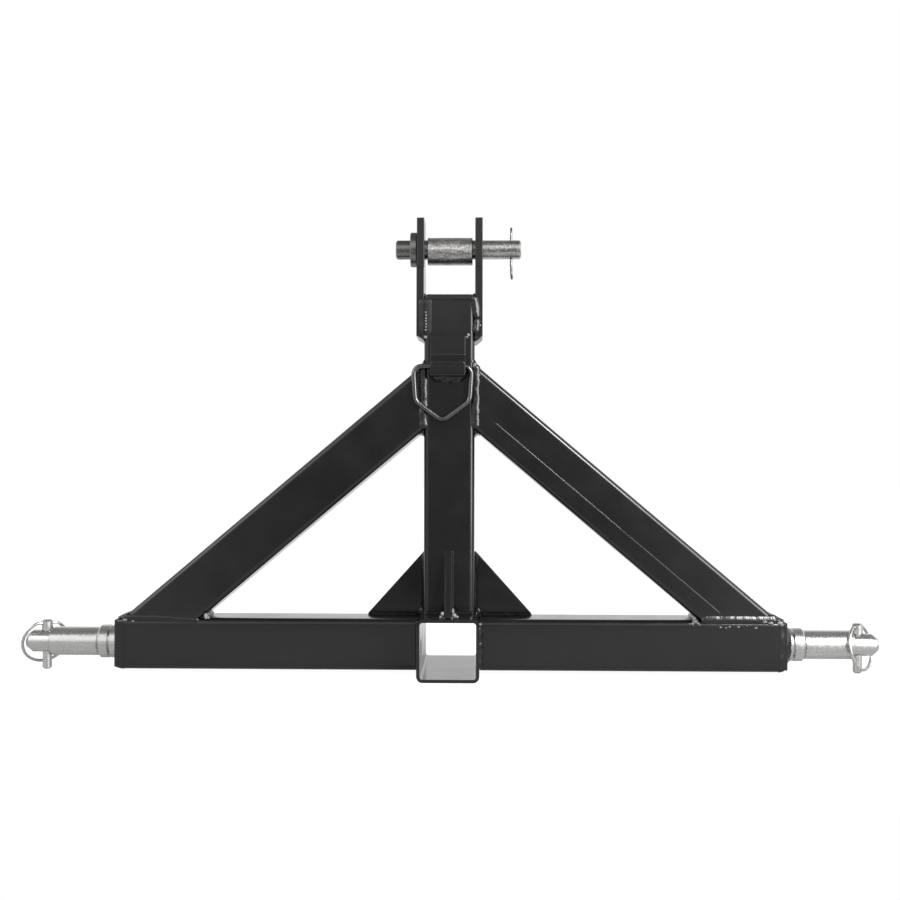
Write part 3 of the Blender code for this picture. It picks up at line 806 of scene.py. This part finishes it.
@dataclass
class WeldedFrame:
    """The frame's tubes and plates, and the weld beads on its seams.

    All sizes are in millimetres. A trim is how far a bead stops short of an edge, sunk is how far
    its root lies inside a face, and a rise or a drop is a height over or under a member.
    """

    finishes: Finishes
    tube_edge: float = 0.5
    rim_edge: float = 1.0
    plate_edge: float = 0.7
    tubes: tuple[str, ...] = ("receiver_tube", "crossbar_left", "crossbar_right", "mast_tube",
                              "brace_left", "brace_right")
    plates: tuple[str, ...] = ("end_plate_left", "end_plate_right", "mast_cap", "clevis_ear_left",
                               "clevis_ear_right", "gusset_left", "gusset_right", "front_gusset",
                               "ring_strap")
    seed_step: float = 0.37
    half_gap: float = 0.15
    trim: float = 0.5
    wide_trim: float = 1.0
    mast_bead_out: float = 0.9
    mast_bead_sunk: float = 1.1
    foot_bead_sunk: float = 1.3
    foot_bead_toe_trim: float = 2.0
    foot_dips: dict[Side, tuple[float, ...]] = field(default_factory=lambda: {
        Side.LEFT: (-2.6, -1.8, -0.4, 0.0, 0.2, 0.4), Side.RIGHT: (-0.1, -0.1)})
    seam_rise: float = 18.4
    seam_depth: float = 0.1
    seam_foot_share: float = 0.85
    seam_head_gap: float = 4.0
    receiver_bead_rise: float = 3.0
    receiver_bead_drop: float = 1.5
    gusset_bead_gap: float = 1.5
    mast_foot_bead_sunk: float = 0.9
    ear_bead_sunk: dict[Side, float] = field(default_factory=lambda: {Side.LEFT: 0.3, Side.RIGHT: 0.9})
    ear_laps: dict[Side, tuple[EarLap, ...]] = field(default_factory=lambda: {
        Side.LEFT: (EarLap((25.6, 1.5), (25.6, 37.4), leg=4.8, inner=1.9, height=1.4),),
        Side.RIGHT: (EarLap((27.2, 17.0), (23.8, 40.6), leg=5.4, inner=0.75, height=3.2),
                     EarLap((25.6, 2.5), (27.4, 18.0), leg=4.8, inner=0.7, height=2.8))})
    cap_bead_sunk: float = 0.7
    strap_bead_shares: tuple[float, ...] = (-0.04, 0.06, 0.16, 0.5, 0.84, 0.96, 1.08)
    strap_bead_rise: float = 0.4
    strap_bead_end_rise: float = 3.0
    crease_rise: float = 12.9
    crease_sunk: float = 0.2
    crease_trim: float = 0.6
    end_seam_inset: dict[Side, float] = field(default_factory=lambda: {Side.LEFT: 1.6, Side.RIGHT: 1.0})
    end_seam_reach: dict[Side, float] = field(default_factory=lambda: {Side.LEFT: 3.4, Side.RIGHT: 2.7})
    end_seam_edge: float = 0.4
    end_seam_corner: float = 2.2
    base_weld: dict[Side, float] = field(default_factory=lambda: {Side.LEFT: 1.6, Side.RIGHT: 5.6})
    base_weld_sunk: float = 0.2
    fill_out: float = 3.3
    fill_drop: float = 1.6
    fill_shift: float = 2.0
    fill_radii: Point = (3.8, 2.6, 4.4)

    def __post_init__(self) -> None:
        """Take the members' places from the CAD model; head and foot hold X and Z."""
        self.mast_low, self.mast_high = millimetres("mast_tube")
        self.bar_low, self.bar_high = millimetres("crossbar_right")
        self.receiver_high = millimetres("receiver_tube")[1]
        low, high = millimetres("brace_right")
        self.head = Vector((self.mast_high.x, high.z))
        self.foot = Vector((high.x, low.z))
        self.slope = math.atan2(self.head.y - self.foot.y, self.foot.x - self.head.x)
        tube = self.mast_high.x - self.mast_low.x
        self.inner_foot_x = self.foot.x - tube / math.sin(self.slope)
        self.throat_z = self.head.y - tube / math.cos(self.slope)

    def dress(self) -> None:
        """Refine and coat the tubes and the plates."""
        for node in self.tubes:
            edge = self.rim_edge if node == "receiver_tube" else self.tube_edge
            refine(node, self.finishes.coat, "frame", edge)
        for node in self.plates:
            refine(node, self.finishes.coat, "frame", self.plate_edge)

    def weld(self) -> None:
        """Lay the beads that join the members, and their spatter."""
        beads = [*self.mast_beads(), *self.foot_beads(), *self.seam_beads(), *self.receiver_beads(),
                 *self.gusset_beads(), *self.front_gusset_beads(), *self.ear_beads(),
                 *self.cap_beads(), *self.strap_beads(), *self.end_beads()]
        for index, bead in enumerate(beads):
            bead.seed = self.seed_step * index
            bead.build(self.finishes.coat)
        for spatter in self.spatters():
            # Painted glints: the drops wear the paler coat.
            spatter.build(self.finishes.scuffed_coat)
        self.corner_fill().build(self.finishes.coat)

    def mast_beads(self) -> list[WeldBead]:
        """Lay out the beads between the braces and the mast, on all four sides of each joint.

        Returns:
            The beads.
        """
        beads = []
        low, high = self.mast_low, self.mast_high
        for side in Side:
            x = side.value * (high.x + self.mast_bead_out)
            for face in Face:
                y = face.of(low, high, self.mast_bead_sunk)
                beads.append(WeldBead(
                    f"bead_mast_{side.word}_{face.word}",
                    [Vector((x, y, self.throat_z + self.wide_trim)),
                     Vector((x, y, self.head.y - self.wide_trim))],
                    -side.out, side.out, leg=4.9, crown=face.out, crown_height=2.4, facet=1.4,
                    drift=0.6, lump=0.18, lump_pitch=6.5, ripple=0.02))
            slide = Vector((side.value * math.cos(self.slope), 0.0, -math.sin(self.slope)))
            x = side.value * (high.x + self.half_gap)
            beads.append(WeldBead(
                f"bead_brace_head_{side.word}", level_path(x, self.head.y, low, high, trim=1.5),
                UP, slide, leg=4.6))
            beads.append(WeldBead(
                f"bead_brace_throat_{side.word}", level_path(x, self.throat_z, low, high, trim=1.5),
                DOWN, slide, leg=6.6, bulge=-0.35))
        return beads

    def foot_beads(self) -> list[WeldBead]:
        """Lay out the beads where the braces stand on the crossbar, with the fillets at heel and toe.

        Returns:
            The beads.
        """
        beads = []
        low, high = self.bar_low, self.bar_high
        start, end = self.inner_foot_x + self.foot_bead_toe_trim, self.foot.x - self.wide_trim
        for side in Side:
            dips = self.foot_dips[side]
            pace = (end - start) / (len(dips) - 1)
            for face in Face:
                y = face.of(low, high, self.foot_bead_sunk)
                path = [Vector((side.value * (start + pace * index), y, high.z + dip))
                        for index, dip in enumerate(dips)]
                if side is Side.RIGHT:
                    beads.append(WeldBead(
                        f"bead_brace_foot_{side.word}_{face.word}", path, UP * 1.2, DOWN * 0.8,
                        leg=5.0, crown=face.out, crown_height=2.7, facet=1.6, drift=0.4,
                        lump=0.035, lump_pitch=5.0, ripple=0.03))
                else:
                    beads.append(WeldBead(
                        f"bead_brace_foot_{side.word}_{face.word}", path, UP * 0.8, DOWN * 0.9,
                        leg=4.2, crown=face.out, crown_height=1.6, drift=0.3, lump=0.1,
                        lump_pitch=13.0, ripple=0.0))
            heel = Vector((-side.value * math.cos(self.slope), 0.0, math.sin(self.slope)))
            heel_path = level_path(side.value * self.foot.x, high.z, low, high, trim=1.0)
            beads.append(WeldBead(
                f"bead_brace_heel_{side.word}", heel_path, side.out * 1.08, heel * 1.45, leg=7.0,
                bulge=0.3, lump=0.12))
            toe_path = level_path(side.value * self.inner_foot_x, high.z, low, high, trim=2.0)
            beads.append(WeldBead(
                f"bead_brace_toe_{side.word}", toe_path, -side.out, heel, leg=3.0, bulge=0.1))
        return beads

    def seam_beads(self) -> list[WeldBead]:
        """Lay out the right brace's own tube seam, on the front.

        Returns:
            The seam, as one low bead.
        """
        down = Vector((math.cos(self.slope), 0.0, -math.sin(self.slope)))
        across = Vector((math.sin(self.slope), 0.0, math.cos(self.slope)))
        root = Vector((self.inner_foot_x, self.mast_low.y + self.seam_depth, self.bar_high.z))
        root += across * self.seam_rise
        foot = root + down * self.seam_rise * math.tan(self.slope) * self.seam_foot_share
        run = self.inner_foot_x - self.mast_high.x + self.seam_head_gap
        head = foot - down * run / math.cos(self.slope)
        return [WeldBead("seam_brace_right", [foot, head], across, -across, leg=0.9,
                         crown=Face.FRONT.out, crown_height=0.27, facet=1.5, lump=0.05,
                         lump_pitch=30.0, ripple=0.0, step=6.0)]

    def receiver_beads(self) -> list[WeldBead]:
        """Lay out the upright beads between the receiver and the crossbar's halves.

        Returns:
            The beads, front and rear.
        """
        beads = []
        low, high = self.bar_low, self.bar_high
        for side in Side:
            x = side.value * (self.receiver_high.x + self.half_gap)
            for face in Face:
                y = face.of(low, high)
                beads.append(WeldBead(
                    f"bead_receiver_{side.word}_{face.word}",
                    [Vector((x, y, low.z + self.receiver_bead_rise)),
                     Vector((x, y, high.z - self.receiver_bead_drop))],
                    face.out, side.out, leg=3.8 if side is Side.RIGHT else 3.0,
                    lump=0.22 if side is Side.RIGHT else 0.1))
        return beads

    def gusset_beads(self) -> list[WeldBead]:
        """Lay out the beads along the gussets, on both of their faces.

        Returns:
            The beads.
        """
        beads = []
        low, high = millimetres("gusset_right")
        base = self.bar_high.z + self.half_gap
        for side in Side:
            up_x = side.value * (self.mast_high.x + self.half_gap)
            near_x = side.value * (self.receiver_high.x + self.gusset_bead_gap)
            far_x = side.value * (high.x - self.trim)
            for face in Face:
                y = face.of(low, high)
                beads.append(WeldBead(
                    f"bead_gusset_up_{side.word}_{face.word}",
                    [Vector((up_x, y, self.receiver_high.z + self.trim)),
                     Vector((up_x, y, high.z - self.wide_trim))],
                    face.out, side.out, leg=4.0, bulge=0.1, lump=0.05, lump_pitch=14.0, ripple=0.0))
                beads.append(WeldBead(
                    f"bead_gusset_along_{side.word}_{face.word}",
                    [Vector((near_x, y, base)), Vector((far_x, y, base))],
                    face.out, UP, leg=2.8, bulge=0.2, lump=0.12))
        return beads

    def front_gusset_beads(self) -> list[WeldBead]:
        """Lay out the beads along the front gusset, and across the mast's foot.

        Returns:
            The beads.
        """
        beads = []
        low, high = millimetres("front_gusset")
        base = self.receiver_high.z + self.half_gap
        front = self.mast_low.y - self.half_gap
        for side in Side:
            x = side.value * high.x
            beads.append(WeldBead(
                f"bead_front_gusset_up_{side.word}",
                [Vector((x, front, base + self.trim)), Vector((x, front, high.z - self.trim))],
                Face.FRONT.out, side.out, leg=1.7, bulge=-0.1, lump=0.03, ripple=0.0))
            beads.append(WeldBead(
                f"bead_front_gusset_along_{side.word}",
                [Vector((x, front, base)), Vector((x, low.y + self.trim, base))],
                side.out, UP, leg=3.0, lump=0.3, lump_pitch=4.0))
            for face in Face:
                y = front if face is Face.FRONT else self.mast_high.y
                start = x if face is Face.FRONT else 0.0
                corner = Vector((side.value * (self.mast_high.x - self.wide_trim),
                                 y - self.mast_foot_bead_sunk * face.value, base))
                beads.append(WeldBead(
                    f"bead_mast_foot_{side.word}_{face.word}", [Vector((start, y, base)), corner],
                    face.out, UP, leg=3.0, lump=0.1))
        return beads

    def ear_beads(self) -> list[WeldBead]:
        """Lay out the beads that hold the clevis ears on the mast's head.

        Returns:
            The beads.
        """
        beads = []
        low, high = millimetres("clevis_ear_right")
        for side in Side:
            below = level_path(side.value * self.mast_high.x, low.z, self.mast_low, self.mast_high,
                               trim=0.5)
            beads.append(WeldBead(
                f"bead_ear_below_{side.word}", below, DOWN, side.out * 1.3, leg=5.4,
                bulge=-0.4 if side is Side.LEFT else 0.3, lump=0.05))
            for face in Face:
                y = face.of(low, high, self.ear_bead_sunk[side])
                for count, lap in enumerate(self.ear_laps[side]):
                    path = [Vector((side.value * x, y, low.z + rise)) for x, rise in (lap.start, lap.end)]
                    beads.append(WeldBead(
                        f"bead_ear_{side.word}_{face.word}_{count}", path, -side.out * lap.inner,
                        side.out, leg=lap.leg, crown=face.out, crown_height=lap.height, facet=1.6,
                        lump=0.06 if side is Side.LEFT else 0.12, lump_pitch=11.0, ripple=0.0))
        return beads

    def cap_beads(self) -> list[WeldBead]:
        """Lay out the beads round the mast's cap, and between the cap and the ears.

        Returns:
            The beads.
        """
        beads = []
        low, high = millimetres("mast_cap")
        seam = low.z - self.half_gap
        for face in Face:
            y = face.of(self.mast_low, self.mast_high, self.cap_bead_sunk)
            beads.append(WeldBead(
                f"bead_cap_{face.word}",
                [Vector((self.mast_low.x + self.trim, y, seam)),
                 Vector((self.mast_high.x - self.trim, y, seam))],
                UP, DOWN, leg=4.4, crown=face.out, crown_height=0.74, lump=0.04, lump_pitch=16.0,
                ripple=0.0))
        for side in Side:
            path = level_path(side.value * self.mast_high.x, high.z, low, high, trim=1.0)
            beads.append(WeldBead(f"bead_cap_{side.word}", path, -side.out, UP, leg=3.2, lump=0.3))
        return beads

    def strap_beads(self) -> list[WeldBead]:
        """Lay out the bead under the chain ring's strap, and the strap's crease.

        Returns:
            The bead and the crease.
        """
        low, high = millimetres("ring_strap")
        path = []
        for share in self.strap_bead_shares:
            rise = self.strap_bead_rise + self.strap_bead_end_rise * (2.0 * share - 1.0) ** 4
            path.append(Vector((low.x + (high.x - low.x) * share, self.mast_low.y, low.z + rise)))
        crease = [Vector((x, low.y + self.crease_sunk, low.z + self.crease_rise))
                  for x in (low.x + self.crease_trim, high.x - self.crease_trim)]
        return [WeldBead("bead_strap_below", path, Face.FRONT.out * 0.85, DOWN, leg=6.0, bulge=0.1,
                         lump=0.08),
                WeldBead("crease_strap", crease, UP, DOWN * 0.4, leg=2.4, crown=Face.FRONT.out,
                         crown_height=1.07, facet=1.7, lump=0.02, ripple=0.0)]

    def end_beads(self) -> list[WeldBead]:
        """Lay out the beads round the end plates, and round the bases of the lower pins.

        Returns:
            The beads.
        """
        beads = []
        for side in Side:
            lively = side is Side.RIGHT
            low, high = millimetres("end_plate_" + side.word)
            pin_low, pin_high = millimetres("lower_pin_" + side.word)
            middle = (low + high) / 2
            inner_x, outer_x = (low.x, high.x) if lively else (high.x, low.x)
            seam = inner_x - side.value * self.end_seam_inset[side]
            half = high.y - middle.y - self.end_seam_edge
            beads.append(WeldBead(
                f"bead_end_plate_{side.word}",
                rounded_square(seam, middle.y, middle.z, half, self.end_seam_corner),
                side.out * self.end_seam_reach[side], UP, leg=2.5,
                hub=Vector((seam, middle.y, middle.z)), lump=0.12 if lively else 0.05,
                lump_pitch=9.0, bulge=0.8 if lively else 0.6, ripple=0.0))
            radius = (pin_high.z - pin_low.z) / 2 - self.base_weld_sunk
            hub = Vector((outer_x, middle.y, (pin_low.z + pin_high.z) / 2))
            beads.append(WeldBead(
                f"bead_pin_base_{side.word}", circle_path(outer_x, hub.y, hub.z, radius), side.out,
                UP, leg=self.base_weld[side], hub=hub, bulge=0.4, lump=0.25 if lively else 0.1,
                lump_pitch=8.0))
        return beads

    def spatters(self) -> list[Spatter]:
        """List the nuggets where beads stop, and the drops beside the livelier ones.

        Each list is placed from the middle of the frame along X, from the front of the member that
        it lies on along Y, and from that member's top, or the ears' foot, along Z.

        Returns:
            The drops of the braces' feet, the front gusset's toe and the mast's head.
        """
        bar = (0.0, self.bar_low.y, self.bar_high.z)
        small = [((x, 0.2, rise), (radius * 1.4, radius, radius)) for x, rise, radius in (
            (266.0, -6.4, 0.9), (271.5, -6.8, 0.7), (275.0, -6.0, 0.8), (283.5, -5.9, 0.9),
            (300.5, -6.8, 1.1), (236.0, -3.3, 0.8), (246.0, -4.3, 0.7), (292.0, -4.6, 0.6))]
        right = [((238.8, 0.2, -3.2), (1.9, 1.6, 1.4)), ((241.2, 0.2, -0.8), (2.6, 2.2, 2.0)),
                 ((244.0, 0.2, -2.8), (1.5, 1.3, 1.3)), ((240.0, 0.4, 1.6), (1.5, 1.3, 1.2)),
                 ((309.0, -0.3, -0.6), (2.4, 1.8, 1.6)), ((312.6, 0.3, 1.6), (1.9, 1.5, 1.3)),
                 ((315.2, -0.1, -1.8), (2.6, 1.8, 1.5)), ((324.0, 0.2, -1.8), (3.0, 1.8, 1.5))]
        left = [((-240.2, 0.2, 2.2), (1.8, 1.9, 3.0)), ((-238.0, 0.4, 0.8), (1.6, 1.5, 1.4)),
                ((-321.0, 1.0, -1.8), (2.4, 1.6, 1.6)), ((-313.0, 0.4, -3.2), (1.2, 0.9, 0.9))]
        toe_front = millimetres("front_gusset")[0].y
        toe = [((6.2, 2.4, 2.8), (2.3, 2.4, 2.4)), ((8.4, 3.4, 1.6), (1.8, 1.8, 1.5)),
               ((4.8, 1.7, 7.0), (1.3, 1.6, 2.8)), ((-5.4, 2.4, 4.5), (1.6, 1.8, 2.2)),
               ((-7.0, 3.4, 1.4), (1.6, 1.8, 1.6))]
        ear_foot = millimetres("clevis_ear_right")[0].z
        head = [((-23.8, 0.6, -0.9), (1.7, 1.1, 1.7)), ((-23.2, 0.3, 34.1), (0.9, 0.7, 1.1)),
                ((18.6, 0.2, 1.3), (1.6, 1.1, 1.8)), ((17.0, 0.2, -1.1), (1.4, 0.9, 1.2)),
                ((28.6, 0.6, 11.1), (2.4, 1.0, 3.2)), ((25.0, 1.0, -29.4), (2.4, 1.8, 3.4)),
                ((27.5, 1.2, -33.4), (2.2, 1.6, 2.6)), ((22.5, 0.8, -24.9), (1.3, 1.0, 1.5)),
                ((29.5, 0.3, -38.4), (1.0, 0.8, 1.2))]
        row = [((-23.5 + 0.2 * (index % 3), -0.8, 6.1 + 2.9 * index), (0.9, 0.8, 1.1))
               for index in range(7)]
        return [Spatter("spatter_foot_right", bar, small + right),
                Spatter("spatter_foot_left", bar, left),
                Spatter("spatter_toe", (0.0, toe_front, self.receiver_high.z), toe),
                Spatter("spatter_head", (0.0, self.mast_low.y, ear_foot), head + row)]

    def corner_fill(self) -> Spatter:
        """Fill the notches of the gussets, beside the mast's foot, with weld metal.

        Returns:
            Two lumps of weld metal on each side.
        """
        low, high = millimetres("gusset_right")
        datum = (0.0, (low.y + high.y) / 2, self.receiver_high.z)
        x = self.mast_high.x + self.fill_out
        lumps = [((side.value * x, shift, -self.fill_drop), self.fill_radii)
                 for side in Side for shift in (-self.fill_shift, self.fill_shift)]
        return Spatter("fill_gusset_corners", datum, lumps)


@dataclass
class RingOnStrap:
    """The chain ring under its strap."""

    finishes: Finishes
    wire: float = 5.0

    def dress(self) -> None:
        """Round off and coat the ring."""
        RoundWire("chain_ring", "chain_ring", "black_coat", self.wire).build(self.finishes.ring_coat)


@dataclass
class TopLink:
    """The top link pin with its sleeve and hairpin clip."""

    finishes: Finishes
    clip_wire: float = 2.2

    def dress(self) -> None:
        """Finish the pin and its loose pieces."""
        refine("top_pin", self.finishes.zinc_top, "top_pin")
        refine("top_sleeve", self.finishes.steel, "top_sleeve")
        RoundWire("hairpin_clip", "top_pin", "spring_wire", self.clip_wire).build(self.finishes.spring)


@dataclass
class LowerLink:
    """One lower link pin with its bushing, linch pin and snap ring."""

    finishes: Finishes
    side: Side
    ring_wire: float = 3.1

    def dress(self) -> None:
        """Finish the pin and what is on it."""
        word = self.side.word
        refine("lower_pin_" + word, self.finishes.zinc, "frame")
        refine("lower_bushing_" + word, self.finishes.zinc, "bushing_" + word)
        refine("linch_pin_" + word, self.finishes.zinc_upright, "linch_pin_" + word)
        RoundWire("linch_ring_" + word, "linch_ring_" + word, "zinc_plate",
                  self.ring_wire).build(self.finishes.zinc_wire)


@dataclass(frozen=True)
class Softbox:
    """A rectangular lamp, with its places and sizes in metres."""

    name: str
    place: Point
    aim: Point
    size: tuple[float, float]
    watts: float
    mirrored: bool = True

    def hang(self) -> None:
        """Hang the lamp, facing its aim."""
        lamp = bpy.data.lights.new(self.name, "AREA")
        lamp.shape = "RECTANGLE"
        lamp.size, lamp.size_y = self.size
        lamp.energy = self.watts
        holder = bpy.data.objects.new(self.name, lamp)
        way = Vector(self.aim) - Vector(self.place)
        turn = way.to_track_quat("-Z", "Y").to_matrix().to_4x4()
        holder.matrix_world = Matrix.Translation(self.place) @ turn
        holder.visible_glossy = self.mirrored
        bpy.context.scene.collection.objects.link(holder)


@dataclass(frozen=True)
class Room:
    """The light that the hitch stands in, and that its coat and plating mirror.

    The room is pale behind, with a dark patch straight in front, paler sides and most light from
    the right, a faint band above eye level, and a dim ceiling.
    """

    ambient: float = 0.24
    patch_shift: float = 0.03
    sides: Range = (0.0, 0.55, 0.10, 0.34)
    right: Range = (0.0, 0.5, 0.14, 0.45)
    band: Range = (0.0, 0.70, 0.05, 0.20)
    ceiling: Range = (1.0, 0.0, 0.62, 0.86)
    rear: Range = (1.0, 0.32, 0.50, 0.78)
    turn_to_rear: Range = (0.0, 1.0, 0.0, 0.25)

    def light(self) -> None:
        """Build the world; the camera sees it plain white."""
        world = bpy.data.worlds.new("room")
        bpy.context.scene.world = world
        world.use_nodes = True
        graph = NodeGraph(world.node_tree)
        graph.tree.nodes.clear()
        x, y, z = graph.split("Generated").outputs
        offset = graph.math("ABSOLUTE", graph.math("ADD", x, self.patch_shift))
        sides = graph.span(offset, *self.sides, soft=True)
        right = graph.span(x, *self.right, soft=True)
        band = graph.span(z, *self.band, soft=True)
        ceiling = graph.span(z, *self.ceiling, soft=True)
        front = graph.math("ADD", graph.math("ADD", sides, right), band)
        front = graph.math("ADD", graph.math("MULTIPLY", front, ceiling), self.ambient)
        level = graph.add("Mix", data_type="FLOAT")
        graph.join(graph.span(y, *self.turn_to_rear, soft=True), level.inputs["Factor"])
        graph.join(front, level.inputs["A"])
        graph.join(graph.span(z, *self.rear, soft=True), level.inputs["B"])
        room = graph.add("Background")
        room.inputs["Color"].default_value = (*WHITE, 1.0)
        graph.join(level.outputs["Result"], room.inputs["Strength"])
        white = graph.add("Background")
        white.inputs["Color"].default_value = (*WHITE, 1.0)
        rays = graph.add("LightPath")
        mix = graph.add("MixShader")
        graph.join(rays.outputs["Is Camera Ray"], mix.inputs["Fac"])
        graph.join(room.outputs[0], mix.inputs[1])
        graph.join(white.outputs[0], mix.inputs[2])
        output = graph.add("OutputWorld")
        graph.join(mix.outputs[0], output.inputs["Surface"])


@dataclass
class Studio:
    """A white floor and backdrop, a plainly lit room, soft lamps and the camera.

    The camera's place is in millimetres and its angles in degrees; the rest is in metres.
    """

    camera_place: Point = (27.4, -1231.0, 205.8)
    turn_left: float = 1.27
    tilt_up: float = 0.75
    roll: float = 0.12
    focal_pixels: float = 1218.0
    photo_pixels: float = 900.0
    sensor: float = 36.0
    floor_width: float = 12.0
    floor_front: float = -0.50
    floor_rear: float = 10.0
    floor_drop: float = 0.0002
    floor_white: float = 0.85
    floor_rough: float = 0.9
    backdrop_share: float = 0.80
    backdrop_glow: float = 1.2
    mirrored_share: float = 0.75
    # Painted shade in the floor's reflected glow: its strength in front and behind, and the Y where it
    # starts and stops rising.
    mirrored_glow: Range = (0.42, 1.0, 0.05, 0.35)
    lamps: tuple[Softbox, ...] = (
        Softbox("overhead", (0.1, -0.2, 1.6), (0.0, 0.0, 0.2), (1.2, 0.8), 10.0, mirrored=False),
        Softbox("window_right", (1.20, -1.05, 0.50), (0.05, 0.0, 0.15), (0.50, 0.95), 14.0),
        Softbox("key_right", (0.82, -1.05, 1.00), (0.1, 0.0, 0.15), (0.42, 0.42), 18.0),
        Softbox("fill_left", (-1.3, -0.9, 0.9), (-0.1, 0.0, 0.15), (0.5, 0.6), 3.0))

    def lay_floor(self) -> None:
        """Lay a wide white floor that keeps a soft shadow, and that glows dimmer in reflections in front
        of the hitch than behind it, as painted shade.
        """
        side = self.floor_width / 2
        corners = [(-side, self.floor_front, 0.0), (side, self.floor_front, 0.0),
                   (side, self.floor_rear, 0.0), (-side, self.floor_rear, 0.0)]
        mesh = bpy.data.meshes.new("floor")
        mesh.from_pydata(corners, [], [(0, 1, 2, 3)])
        floor = bpy.data.objects.new("floor", mesh)
        floor.location.z = -self.floor_drop
        bpy.context.scene.collection.objects.link(floor)
        graph = FinishGraph("floor_white")
        graph.shader.inputs["Base Color"].default_value = (self.floor_white,) * 3 + (1.0,)
        graph.shader.inputs["Roughness"].default_value = self.floor_rough
        rays = graph.add("LightPath")
        seen = graph.math("MULTIPLY", rays.outputs["Is Camera Ray"], self.backdrop_share)
        mirrored = graph.math("MULTIPLY", rays.outputs["Is Glossy Ray"], self.mirrored_share)
        # Painted shade: in reflections the floor's glow is 0.42 up to Y = 0.05 m, in front of and under
        # the hitch, and rises to 1 by Y = 0.35 m.
        behind = graph.span(graph.split("Object").outputs["Y"], *self.mirrored_glow)
        backdrop = graph.math("MULTIPLY", rays.outputs["Is Camera Ray"], self.backdrop_glow)
        glow = graph.add("Emission")
        graph.join(graph.math("MAXIMUM", behind, backdrop), glow.inputs["Strength"])
        mix = graph.add("MixShader")
        graph.join(graph.math("MAXIMUM", seen, mirrored), mix.inputs["Fac"])
        graph.join(graph.shader.outputs[0], mix.inputs[1])
        graph.join(glow.outputs[0], mix.inputs[2])
        graph.join(mix.outputs[0], graph.tree.nodes["Material Output"].inputs["Surface"])
        mesh.materials.append(graph.material)

    def place_camera(self) -> None:
        """Stand the camera where the photograph was taken."""
        data = bpy.data.cameras.new("camera")
        data.sensor_fit = "HORIZONTAL"
        data.sensor_width = self.sensor
        data.lens = self.focal_pixels / self.photo_pixels * self.sensor
        camera = bpy.data.objects.new("camera", data)
        turn = Matrix.Rotation(math.radians(self.turn_left), 4, "Z")
        tilt = Matrix.Rotation(math.radians(90.0 + self.tilt_up), 4, "X")
        roll = Matrix.Rotation(math.radians(self.roll), 4, "Z")
        place = Matrix.Translation(Vector(self.camera_place) * MM)
        camera.matrix_world = place @ turn @ tilt @ roll
        bpy.context.scene.collection.objects.link(camera)
        bpy.context.scene.camera = camera

    def build(self) -> None:
        """Set up the floor, the room, the lamps and the camera."""
        bpy.context.scene.view_settings.view_transform = "Standard"
        self.place_camera()
        self.lay_floor()
        Room().light()
        for lamp in self.lamps:
            lamp.hang()


def main() -> None:
    """Build and dress the hitch, then the studio round it."""
    logging.basicConfig(level=logging.INFO, format="%(message)s")
    Studio().build()
    finishes = Finishes()
    welded = WeldedFrame(finishes)
    welded.dress()
    welded.weld()
    RingOnStrap(finishes).dress()
    TopLink(finishes).dress()
    for side in Side:
        LowerLink(finishes, side).dress()


if __name__ == "__main__":
    main()
